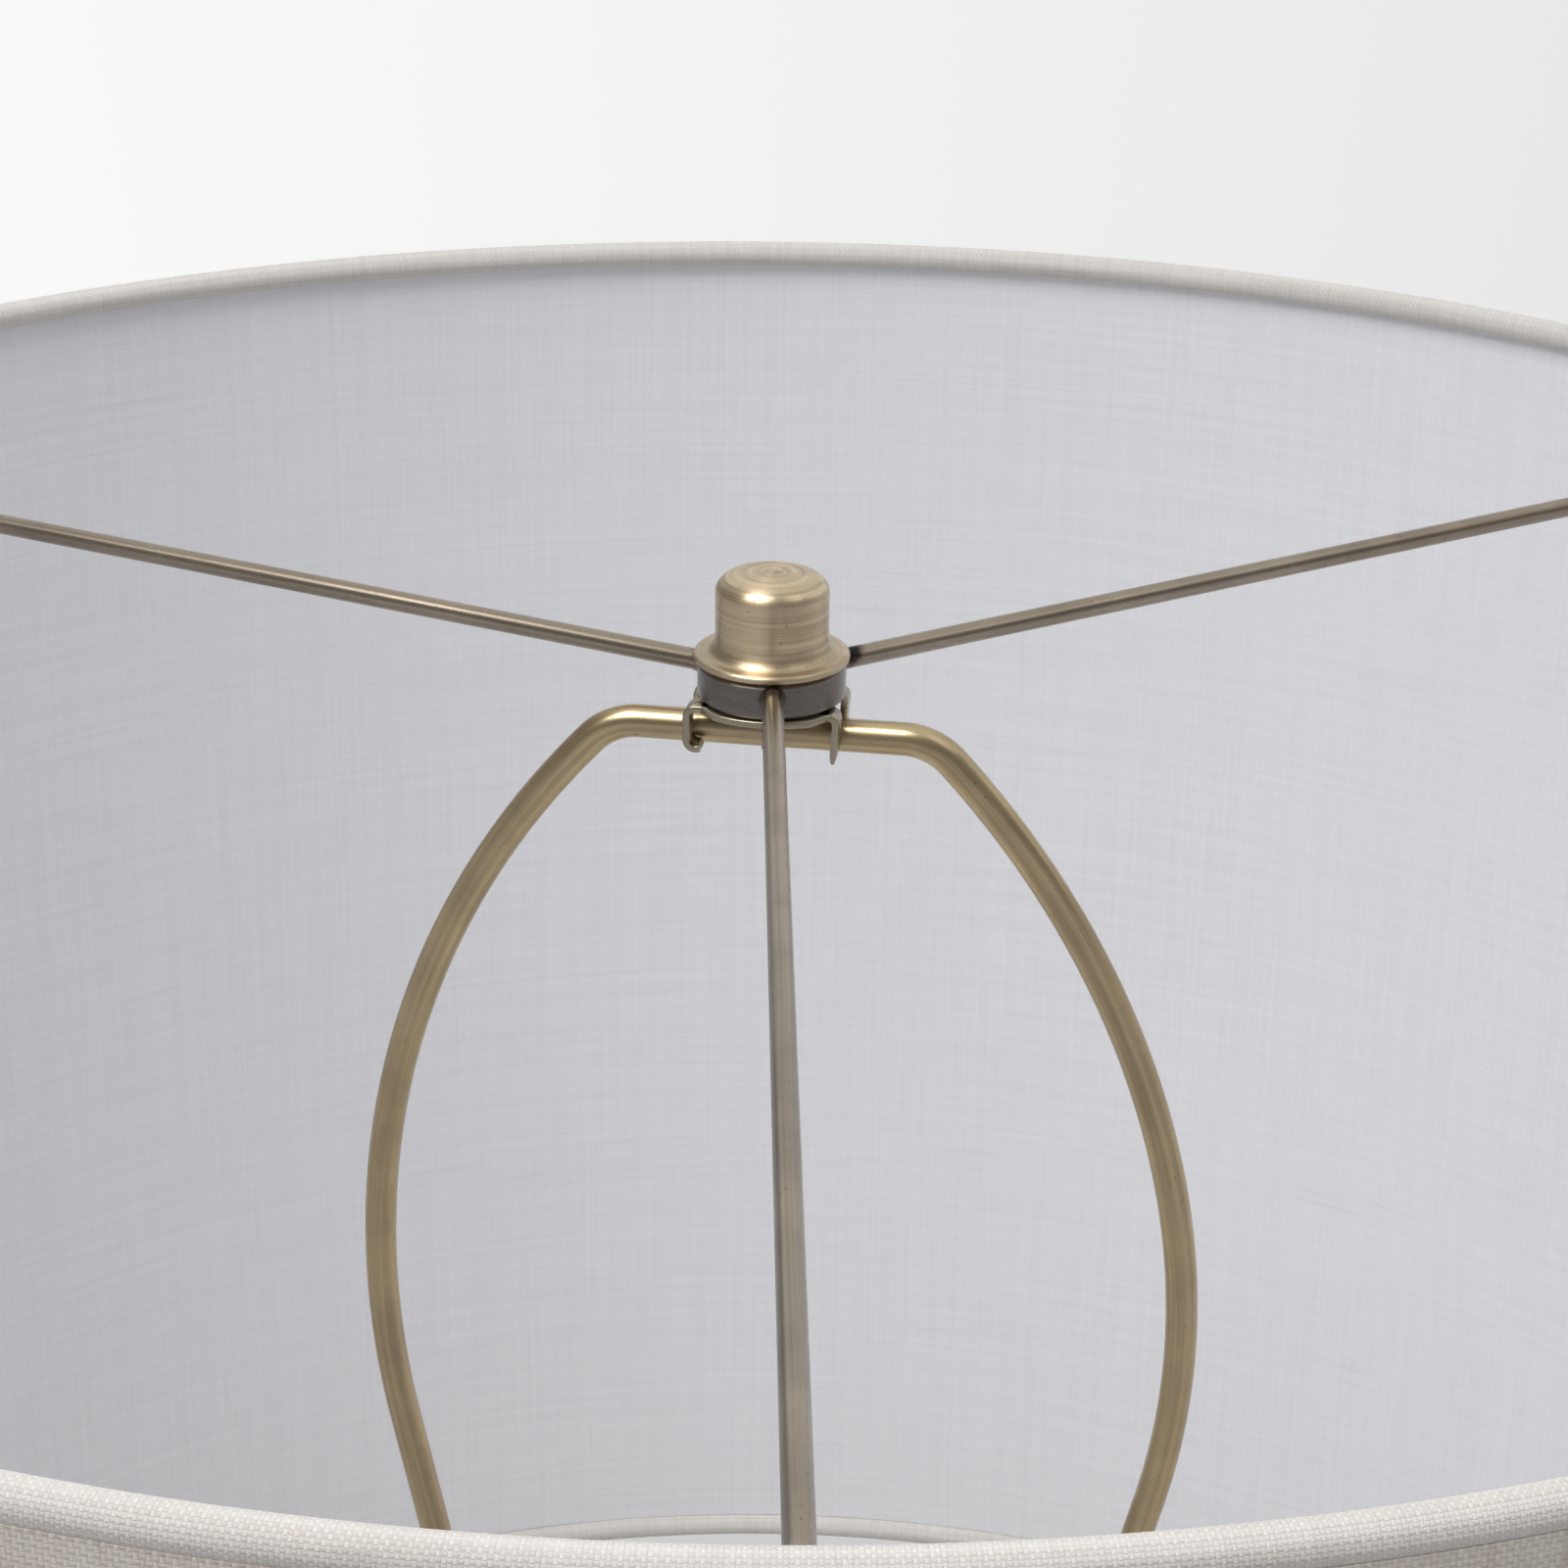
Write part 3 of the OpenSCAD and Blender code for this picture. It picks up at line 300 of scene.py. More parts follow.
@dataclass(frozen=True)
class Cloth:
    """A plain-woven cloth with uneven threads, whose slubs run along both directions, with painted shade
    between the threads.

    streak is how softly the threads' tones pass into each other, slub_share is how many slubs show, and the
    rates are how often the fine tones and the slubs change along a metre of thread.
    """

    name: str
    ground: Colour
    warp_tone: Colour
    weft_tone: Colour
    slub_tone: Colour
    warp: float
    weft: float
    slub_share: float
    streak: float
    depth: float
    roughness: float = 0.9
    sheen: float = 0.15
    fine_rate: float = 9
    slub_rate: float = 28

    def material(self) -> bpy.types.Material:
        """Builds the finish.

        Returns:
            The material.
        """
        shader = Shader.of_material(self.name)
        uv = shader.uv()
        height, over = weave(shader, uv, self.warp, self.weft)
        fine, slub = self.fine_rate, self.slub_rate
        fine_u = shader.noise(uv, (0.7 / self.warp, fine, 1), 2, 0.6)
        fine_v = shader.noise(uv, (fine, 0.7 / self.weft, 1), 2, 0.6)
        long_u = shader.noise(uv, (0.22 / self.warp, slub, 3), 3, 0.6)
        long_v = shader.noise(uv, (slub, 0.22 / self.weft, 3), 3, 0.6)
        low, high = 0.5 - self.streak, 0.5 + self.streak
        warp_share = shader.between(fine_u * 0.6 + long_u * 0.4, low, high)
        weft_share = shader.between(fine_v * 0.6 + long_v * 0.4, low, high)
        warp_colour = shader.mix(warp_share, self.ground, self.warp_tone)
        weft_colour = shader.mix(weft_share, self.ground, self.weft_tone)
        woven = shader.mix(over * 0.5 + 0.25, weft_colour, warp_colour)
        edge = 0.5 + 0.22 * (1 - self.slub_share)
        slubs = shader.between(long_u.math("MAXIMUM", long_v), edge, edge + 0.12)
        colour = shader.mix(slubs * self.slub_share, woven, self.slub_tone)
        # Painted shade: the low places between the crossing threads are darkened by up to 12 %.
        painted_gap_shade = shader.between(height, 0.0, 0.55)
        colour = shader.mix(0.88 + painted_gap_shade * 0.12, (0, 0, 0), colour)
        relief = height * 0.6 + fine_u * 0.25 + fine_v * 0.25 + slubs * 0.5
        return shader.finish(Base_Color=colour, Roughness=self.roughness, Sheen_Weight=self.sheen,
                             Sheen_Roughness=0.5, Normal=shader.bump(relief, self.depth))


@dataclass(frozen=True)
class Yarn:
    """A strand of laid rope: yarns that run round it at an angle, dry fibres, a dusty mix of tones, and
    painted shade in the grooves between the yarns.
    """

    name: str
    light: Colour
    mid: Colour
    dark: Colour
    yarn_width: float = 1.3 * MM
    yarn_slant: float = 0.75
    # Near-black tone painted into the grooves between the yarns as shade.
    groove_shade_tone: Colour = (0.03, 0.018, 0.008)
    depth: float = 0.35 * MM

    def material(self) -> bpy.types.Material:
        """Builds the finish, on a map whose u runs along the strand and v round it.

        Returns:
            The material.
        """
        shader = Shader.of_material(self.name)
        uv = shader.uv()
        slanted = shader.axis(uv, 0) * self.yarn_slant + shader.axis(uv, 1)
        arch = (slanted * (math.pi / self.yarn_width)).math("SINE").math("ABSOLUTE")
        fibres = shader.noise(uv, (260, 2600, 1), 4, 0.7, 0.4)
        hairs = shader.noise(uv, (120, 900, 5), 3, 0.6)
        clouds = shader.noise(shader.place(), (45, 45, 45), 3)
        tone = shader.between(fibres * 0.55 + clouds * 0.25 + hairs * 0.2, 0.36, 0.64)
        dry = shader.mix(shader.between(hairs, 0.4, 0.7), self.mid, self.light)
        colour = shader.mix(tone, self.dark, dry)
        # Painted shade: the grooves between the yarns are darkened by up to 45 % towards a near-black tone.
        colour = shader.mix(shader.between(arch, 0.0, 0.5) * 0.45 + 0.55, self.groove_shade_tone, colour)
        relief = arch * 0.7 + fibres * 0.4 + hairs * 0.2
        return shader.finish(Base_Color=colour, Roughness=0.93, Sheen_Weight=0.25, Sheen_Roughness=0.6,
                             Normal=shader.bump(relief, self.depth))


@dataclass(frozen=True)
class Plain:
    """A moulded, pressed, cast or plated surface: two close tones, a grain of one size, and a plain gloss.

    grain is how often the grain repeats in a metre along each axis, and depth is its height.
    """

    name: str
    light: Colour
    dark: Colour
    roughness: float
    grain: Sequence[float]
    depth: float
    metallic: float = 0.0
    contrast: float = 0.25
    spread: float = 0.1

    def material(self) -> bpy.types.Material:
        """Builds the finish.

        Returns:
            The material.
        """
        shader = Shader.of_material(self.name)
        place = shader.place()
        fine = shader.noise(place, self.grain, 4, 0.65)
        broad = shader.noise(place, [part * 0.12 for part in self.grain])
        share = shader.between(fine * 0.6 + broad * 0.4, 0.5 - self.contrast, 0.5 + self.contrast)
        return shader.finish(Base_Color=shader.mix(share, self.dark, self.light), Metallic=self.metallic,
                             Roughness=fine * self.spread + (self.roughness - self.spread / 2),
                             Normal=shader.bump(fine, self.depth))


class Finish(Enum):
    """The lamp's finishes, each with the record's material slot as its name in lower case."""

    ANTIQUE_BRASS = Brass("aged_brass", light=(0.62, 0.485, 0.285), dark=(0.33, 0.26, 0.158),
                          warm=(0.47, 0.325, 0.18), roughness=0.27)
    DARK_BRONZE = Brass("aged_bronze", light=(0.42, 0.36, 0.28), dark=(0.215, 0.18, 0.138),
                        warm=(0.32, 0.235, 0.155), roughness=0.25)
    OUTER_LINEN = Cloth("slubbed_linen", ground=(0.67, 0.612, 0.555), warp_tone=(0.77, 0.73, 0.69),
                        weft_tone=(0.57, 0.5, 0.43), slub_tone=(0.45, 0.365, 0.29), warp=0.55 * MM,
                        weft=0.6 * MM, slub_share=0.45, streak=0.12, depth=0.12 * MM)
    HEM_LINEN = Cloth("rolled_linen", ground=(0.7, 0.672, 0.645), warp_tone=(0.79, 0.77, 0.75),
                      weft_tone=(0.59, 0.54, 0.495), slub_tone=(0.45, 0.375, 0.31), warp=0.45 * MM,
                      weft=0.5 * MM, slub_share=0.3, streak=0.09, depth=0.1 * MM)
    WHITE_LINING = Cloth("lining_weave", ground=(0.866, 0.87, 0.903), warp_tone=(0.915, 0.92, 0.952),
                         weft_tone=(0.81, 0.815, 0.848), slub_tone=(0.73, 0.735, 0.77), warp=0.42 * MM,
                         weft=0.42 * MM, slub_share=0.3, streak=0.1, depth=0.03 * MM, roughness=0.85,
                         sheen=0.05)
    NATURAL_ROPE = Yarn("rope_yarn", light=(0.78, 0.6, 0.38), mid=(0.6, 0.43, 0.245),
                        dark=(0.34, 0.225, 0.12))
    FELT = Plain("pressed_felt", (0.07, 0.085, 0.06), (0.035, 0.045, 0.03), 0.95,
                 grain=(900, 900, 900), depth=0.2 * MM)
    CAST_IRON = Plain("rough_iron", (0.09, 0.088, 0.085), (0.045, 0.044, 0.042), 0.7,
                      grain=(500, 500, 500), depth=0.1 * MM, metallic=0.6)
    RUBBER = Plain("matt_rubber", (0.03, 0.03, 0.03), (0.018, 0.018, 0.018), 0.75,
                   grain=(1500, 1500, 1500), depth=0.01 * MM)
    PLATED_STEEL = Plain("zinc_plate", (0.62, 0.62, 0.63), (0.42, 0.42, 0.44), 0.33,
                         grain=(900, 900, 120), depth=0.005 * MM, metallic=1.0)
    CORE_WOOD = Plain("turned_wood", (0.5, 0.34, 0.19), (0.33, 0.2, 0.1), 0.7,
                      grain=(160, 160, 12), depth=0.08 * MM)
    FIBRE_BOARD = Plain("pressed_fibre", (0.36, 0.27, 0.17), (0.26, 0.19, 0.12), 0.85,
                        grain=(700, 700, 200), depth=0.03 * MM)
    MOULDED_BLACK = Plain("moulding_black", (0.055, 0.046, 0.042), (0.035, 0.03, 0.028), 0.5,
                          grain=(600, 600, 600), depth=0.01 * MM)
    MOULDED_TAN = Plain("moulding_tan", (0.56, 0.45, 0.3), (0.46, 0.36, 0.23), 0.5,
                        grain=(500, 500, 500), depth=0.01 * MM)
    NICKEL_SHELL = Plain("nickel_plate", (0.74, 0.73, 0.7), (0.58, 0.57, 0.55), 0.25,
                         grain=(300, 300, 1500), depth=0.004 * MM, metallic=1.0)
    CONTACT_BRASS = Plain("bright_brass", (0.75, 0.56, 0.26), (0.56, 0.4, 0.17), 0.28,
                          grain=(500, 500, 900), depth=0.005 * MM, metallic=1.0)
    KNOB_BLACK = Plain("knob_gloss", (0.03, 0.026, 0.023), (0.018, 0.016, 0.015), 0.35,
                       grain=(900, 900, 900), depth=0.006 * MM)

    @property
    def slot(self) -> str:
        """The record's slot for this finish."""
        return self.name.lower()

    @cache
    def material(self) -> bpy.types.Material:
        """The finish's material, made once."""
        return self.value.material()

    def variant(self, name: str, **changes: object) -> bpy.types.Material:
        """The same finish with some values changed, for one piece, as a material of its own name."""
        return replace(self.value, name=name, **changes).material()


@dataclass
class Surface:
    """A grid of points with a map in metres. Its edges may meet, and a weld then closes it."""

    points: np.ndarray
    uv: np.ndarray

    def faces(self) -> np.ndarray:
        """The cells of the grid.

        Returns:
            Four corners for each cell, as indexes of the grid's points.
        """
        rows, columns = self.points.shape[:2]
        index = np.arange(rows * columns).reshape(rows, columns)
        corners = (index[:-1, :-1], index[1:, :-1], index[1:, 1:], index[:-1, 1:])
        return np.stack([corner.ravel() for corner in corners], axis=1)


def make_object(name: str, surfaces: Sequence[Surface], sharp: float = 38) -> bpy.types.Object:
    """Puts grids into one mesh, welds the edges that meet and turns every face outwards.

    Args:
        name: the new piece's name.
        surfaces: the grids.
        sharp: edges that turn by more than this many degrees stay crisp.

    Returns:
        The piece, at the lamp's origin.
    """
    weld = 0.001 * MM
    counts = np.cumsum([0] + [surface.points.shape[0] * surface.points.shape[1] for surface in surfaces])
    corners = np.concatenate([surface.faces() + start for surface, start in zip(surfaces, counts)])
    points = np.concatenate([surface.points.reshape(-1, 3) for surface in surfaces])
    uv = np.concatenate([surface.uv.reshape(-1, 2) for surface in surfaces])
    mesh = bpy.data.meshes.new(name)
    mesh.vertices.add(len(points))
    mesh.vertices.foreach_set("co", points.ravel().astype(np.float32))
    mesh.loops.add(corners.size)
    mesh.loops.foreach_set("vertex_index", corners.ravel().astype(np.int32))
    mesh.polygons.add(len(corners))
    mesh.polygons.foreach_set("loop_start", np.arange(0, corners.size, 4, dtype=np.int32))
    mesh.update(calc_edges=True)
    layer = mesh.uv_layers.new(name="UVMap")
    layer.data.foreach_set("uv", uv[corners.ravel()].ravel().astype(np.float32))
    work = bmesh.new()
    work.from_mesh(mesh)
    bmesh.ops.remove_doubles(work, verts=work.verts, dist=weld)
    bmesh.ops.dissolve_degenerate(work, edges=work.edges, dist=weld / 10)
    bmesh.ops.recalc_face_normals(work, faces=work.faces)
    work.to_mesh(mesh)
    work.free()
    mesh.polygons.foreach_set("use_smooth", np.ones(len(mesh.polygons), dtype=bool))
    mesh.set_sharp_from_angle(angle=math.radians(sharp))
    piece = bpy.data.objects.new(name, mesh)
    bpy.context.scene.collection.objects.link(piece)
    return piece


def dress(piece: bpy.types.Object, finish: Finish, body: str, nodes: Sequence[str],
          material: bpy.types.Material | None = None) -> None:
    """Gives a new piece its finish and its body, and lets it stand for CAD nodes.

    Args:
        piece: the new piece.
        finish: its finish, whose slot's name is only written to the log.
        body: the body that it rides on.
        nodes: the CAD nodes that it stands for.
        material: a variant of the finish, where the piece has one.
    """
    piece.data.materials.clear()
    piece.data.materials.append(material or finish.material())
    finish.slot
    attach(piece, body)
    if nodes:
        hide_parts(*nodes)
    LOG.info("%s: %d faces, %s, on %s", piece.name, len(piece.data.polygons), finish.slot, body)


def along(points: np.ndarray) -> np.ndarray:
    """Distance along a line of points, from its first point to each."""
    steps = np.linalg.norm(np.diff(points, axis=0), axis=1)
    return np.concatenate([[0.0], np.cumsum(steps)])


def unit(vectors: np.ndarray) -> np.ndarray:
    """The vectors at length 1."""
    return vectors / np.linalg.norm(vectors, axis=-1, keepdims=True)


def mapped(u: np.ndarray, v: np.ndarray) -> np.ndarray:
    """A map for a grid: each row's u with each column's v."""
    return np.stack(np.meshgrid(u, v, indexing="ij"), axis=2)


def round_axis(angle: np.ndarray, radius: np.ndarray, height: np.ndarray | float) -> np.ndarray:
    """Points (r cos a, r sin a, h) about the upright axis, for arrays that fit each other's shapes."""
    parts = np.broadcast_arrays(radius * np.cos(angle), radius * np.sin(angle), height)
    return np.stack(parts, axis=-1)


def arc(middle: Sequence[float], half: Sequence[float], start: float, end: float, count: int) -> np.ndarray:
    """Points of an ellipse's arc: middle + (half width x cos a, half height x sin a), a from start to end."""
    angle = np.radians(np.linspace(start, end, count))
    return np.stack([middle[0] + half[0] * np.cos(angle), middle[1] + half[1] * np.sin(angle)], axis=1)


def wall(outer: float, inner: float, low: float, high: float, edge: float) -> np.ndarray:
    """The closed profile of an upright wall, with its four corners cut back by the edge."""
    return np.array([(outer - edge, low), (outer, low + edge), (outer, high - edge), (outer - edge, high),
                     (inner + edge, high), (inner, high - edge), (inner, low + edge), (inner + edge, low),
                     (outer - edge, low)])


def turned(profile: np.ndarray, count: int = 160) -> Surface:
    """A profile of (radius, height) points, turned once round the upright axis.

    Point = (r cos a, r sin a, h). The map's u is the way round at the widest radius, and v the way along the
    profile.

    Args:
        profile: an array of radius and height, one row a point.
        count: the number of steps round.

    Returns:
        The surface.
    """
    angle = np.linspace(0, TAU, count + 1)
    radius, height = profile[:, 0], profile[:, 1]
    return Surface(round_axis(angle[:, None], radius, height), mapped(angle * radius.max(), along(profile)))


def swept(line: np.ndarray, side: np.ndarray, radius: np.ndarray | float, count: int = 24) -> Surface:
    """A round tube along a line, closed at both ends.

    Point = line + radius x (cos a x side + sin a x other), where other is square to the side and to the
    line's way. The map's u is the way along the line and v the way round.

    Args:
        line: points along the middle.
        side: a direction across the line at each point, or one for all.
        radius: the tube's radius, at each point or for all.
        count: steps round the tube.

    Returns:
        The surface.
    """
    way = unit(np.gradient(line, axis=0))
    across = np.broadcast_to(side, line.shape).astype(float)
    across = unit(across - (across * way).sum(1, keepdims=True) * way)
    other = np.cross(way, across)
    radius = np.broadcast_to(radius, len(line)).astype(float)
    line, across, other = (np.concatenate([part[:1], part, part[-1:]]) for part in (line, across, other))
    thick = np.concatenate([[0.0], radius, [0.0]])
    angle = np.linspace(0, TAU, count + 1)
    cos, sin = np.cos(angle)[None, :, None], np.sin(angle)[None, :, None]
    points = line[:, None] + thick[:, None, None] * (cos * across[:, None] + sin * other[:, None])
    return Surface(points, mapped(along(line), angle * radius.max()))


def ribbon(path: np.ndarray, thickness: np.ndarray, low_y: float, high_y: float, bevel: float) -> Surface:
    """A flat strip bent along a path in the XZ plane, with its edges cut back.

    The section is a rectangle of the thickness and the width from low_y to high_y, whose corners are cut by
    the bevel; it stands square to the path.

    Args:
        path: (x, z) points of the strip's middle.
        thickness: the strip's thickness at each point of the path.
        low_y: where the strip starts across.
        high_y: where it ends across.
        bevel: size of the cut at its edges.

    Returns:
        The closed surface.
    """
    way = unit(np.gradient(path, axis=0))
    out = np.stack([-way[:, 1], way[:, 0]], axis=1)
    side = np.array([1, 1, 1, 1, -1, -1, -1, -1, 1])
    away = side * (thickness[:, None] / 2 - bevel * np.array([1, 0, 0, 1, 1, 0, 0, 1, 1]))
    across = np.array([low_y, low_y + bevel, high_y - bevel, high_y, high_y, high_y - bevel, low_y + bevel,
                       low_y, low_y])
    points = np.empty((len(path) + 2, len(side), 3))
    for plan, height in ((0, 0), (2, 1)):
        flat = path[:, None, height] + out[:, None, height] * away
        ends = np.repeat(path[[0, -1]][:, None, height], len(side), axis=1)
        points[..., plan] = np.concatenate([ends[:1], flat, ends[1:]])
    points[1:-1, :, 1] = across
    points[[0, -1], :, 1] = (low_y + high_y) / 2
    reach = np.concatenate([[0], along(path), [along(path)[-1]]])
    return Surface(points, mapped(reach, along(np.stack([away[0], across], 1))))


def stand(name: str, data: bpy.types.ID, axes: Sequence[np.ndarray],
          spot: Sequence[float]) -> bpy.types.Object:
    """Puts a light or camera in the scene.

    Args:
        name: its name.
        data: the light or camera.
        axes: the directions of its own x, y and z.
        spot: where it stands.

    Returns:
        Its object.
    """
    matrix = np.eye(4)
    matrix[:3, :3] = np.stack(axes, axis=1)
    matrix[:3, 3] = spot
    placed = bpy.data.objects.new(name, data)
    placed.matrix_world = Matrix(matrix.tolist())
    bpy.context.scene.collection.objects.link(placed)
    return placed


def swung(first: np.ndarray, second: np.ndarray, angle: float) -> tuple[np.ndarray, np.ndarray]:
    """Two directions square to each other, both swung by an angle from the first towards the second."""
    cos, sin = math.cos(angle), math.sin(angle)
    return first * cos + second * sin, second * cos - first * sin


@dataclass(frozen=True)
class SoftLight:
    """A square soft light: its name, its place, the width of its square and its power in watts."""

    name: str
    spot: tuple[float, float, float]
    size: float
    power: float

    def build(self, aim: Sequence[float]) -> None:
        """Puts the light in the scene.

        Args:
            aim: the point that it is turned to.
        """
        data = bpy.data.lights.new(self.name, "AREA")
        data.shape = "SQUARE"
        data.size = self.size
        data.energy = self.power
        away = unit(np.subtract(self.spot, aim))
        side = unit(np.cross((0, 0, 1), away))
        stand(self.name, data, (side, np.cross(away, side), away), self.spot)


@dataclass
class Studio:
    """The pale floor, the plain light and the camera, which stands where the photograph was taken.

    Angles are in radians, and the lens and the sensor's width in millimetres, as a camera has them.
    """

    hub_height: float
    azimuth: float = math.radians(8.97)
    elevation: float = 0.3614
    distance: float = 0.4604
    pan: float = 0.0038
    tilt: float = -0.0374
    roll: float = 0.0105
    lens: float = 81.3
    sensor: float = 36
    clip_start: float = 0.01
    floor_radii: tuple[float, ...] = (0.0, 0.5, 2.0, 7.0)
    floor_drop: float = 0.2 * MM
    floor_tone: Colour = (0.75, 0.75, 0.75)
    fade: tuple[float, float] = (0.9, 2.4)
    backdrop_left: Colour = (0.955, 0.955, 0.955)
    backdrop_right: Colour = (0.81, 0.81, 0.81)
    backdrop_half: float = 0.26
    room_light: float = 0.25
    wall_light: float = 0.58
    wall_rise: float = 1.0
    wall_lean: float = 0.5
    wall_edge: tuple[float, float] = (0.35, 0.75)
    lights: tuple[SoftLight, ...] = (SoftLight("key", (-0.5, -0.62, 1.98), 0.9, 19.5),
                                     SoftLight("fill", (0.9, -0.3, 1.9), 0.8, 1.6))
    aim_drop: float = 0.1

    def camera(self) -> None:
        """Aims the camera at the arms' middle on the lamp's axis, then pans, tilts and rolls it a little."""
        flat = math.cos(self.elevation) * self.distance
        spot = np.array([flat * math.sin(self.azimuth), -flat * math.cos(self.azimuth),
                         math.sin(self.elevation) * self.distance])
        ahead = -spot / np.linalg.norm(spot)
        right = unit(np.cross(ahead, (0, 0, 1)))
        up = np.cross(right, ahead)
        ahead, right = swung(ahead, right, self.pan)
        ahead, up = swung(ahead, up, self.tilt)
        right, up = swung(right, up, self.roll)
        data = bpy.data.cameras.new("camera")
        data.lens = self.lens
        data.sensor_width = self.sensor
        data.clip_start = self.clip_start
        camera = stand("camera", data, (right, up, -ahead), spot + (0, 0, self.hub_height))
        bpy.context.scene.camera = camera

    def floor(self) -> None:
        """A wide round floor, a hair below the felt: pale paper near the lamp, and far away the backdrop."""
        profile = np.array([(radius, -self.floor_drop) for radius in self.floor_radii])
        piece = make_object("floor", [turned(profile, 96)])
        shader = Shader.of_material("floor")
        away, tone = self.backdrop(shader, shader.place())
        paper = shader.node("ShaderNodeBsdfPrincipled",
                            inputs={"Base Color": (*self.floor_tone, 1), "Roughness": 0.9,
                                    "Specular IOR Level": 0.1})
        backdrop = shader.node("ShaderNodeEmission", inputs={"Color": tone, "Strength": 1.0})
        share = shader.between(away, *self.fade) * self.looked_at(shader)
        mixed = shader.node("ShaderNodeMixShader", inputs={0: share, 1: paper, 2: backdrop})
        shader.node("ShaderNodeOutputMaterial", inputs={"Surface": mixed})
        piece.data.materials.append(shader.owner)

    def across(self) -> tuple[float, float]:
        """The camera's way to the right, in plan."""
        return math.cos(self.azimuth), math.sin(self.azimuth)

    def backdrop(self, shader: Shader, way: Value) -> tuple[Value, Value]:
        """The backdrop's tone in a direction, which falls evenly from left to right.

        Share of the right tone = 1/2 + across / level length / (2 x half), kept within 0 to 1.

        Args:
            shader: the material or world under construction.
            way: a point or direction as seen from the lamp's foot.

        Returns:
            The level length of the way, and the tone.
        """
        level = shader.vector("MULTIPLY", way, (1, 1, 0), out="Vector")
        away = shader.vector("LENGTH", level)
        across = shader.vector("DOT_PRODUCT", way, (*self.across(), 0))
        share = shader.between(across / away, -self.backdrop_half, self.backdrop_half, False)
        return away, shader.mix(share, self.backdrop_left, self.backdrop_right)

    def looked_at(self, shader: Shader) -> Value:
        """1 on what the camera sees directly, in a gloss or through glass, and 0 on all other rays."""
        camera, gloss, glass = (shader.node("ShaderNodeLightPath", out=f"Is {kind} Ray")
                                for kind in ("Camera", "Glossy", "Transmission"))
        return camera.math("MAXIMUM", gloss).math("MAXIMUM", glass)

    def world(self) -> None:
        """A dim room, bright overhead and behind the lamp; the camera sees the backdrop's tones in its place.

        Brightness = room + wall x (how closely the direction points up and to the back).
        """
        world = bpy.data.worlds.new("studio")
        bpy.context.scene.world = world
        shader = Shader(world)
        way = shader.node("ShaderNodeTexCoord", out="Generated")
        right = np.array(self.across())
        back = np.array([-right[1], right[0]])
        glow = tuple(unit(np.append(back + right * self.wall_lean, self.wall_rise)))
        behind = shader.vector("DOT_PRODUCT", way, glow)
        level = shader.between(behind, *self.wall_edge) * self.wall_light + self.room_light
        room = shader.node("ShaderNodeBackground", inputs={"Color": (1, 1, 1, 1), "Strength": level})
        tone = self.backdrop(shader, way)[1]
        plain = shader.node("ShaderNodeBackground", inputs={"Color": tone, "Strength": 1.0})
        seen = shader.node("ShaderNodeLightPath", out="Is Camera Ray")
        mixed = shader.node("ShaderNodeMixShader", inputs={0: seen, 1: room, 2: plain})
        shader.node("ShaderNodeOutputWorld", inputs={"Surface": mixed})

    def build(self) -> None:
        """Sets up the whole studio."""
        bpy.context.scene.view_settings.view_transform = "Standard"
        self.camera()
        self.floor()
        self.world()
        for light in self.lights:
            light.build((0, 0, self.hub_height - self.aim_drop))


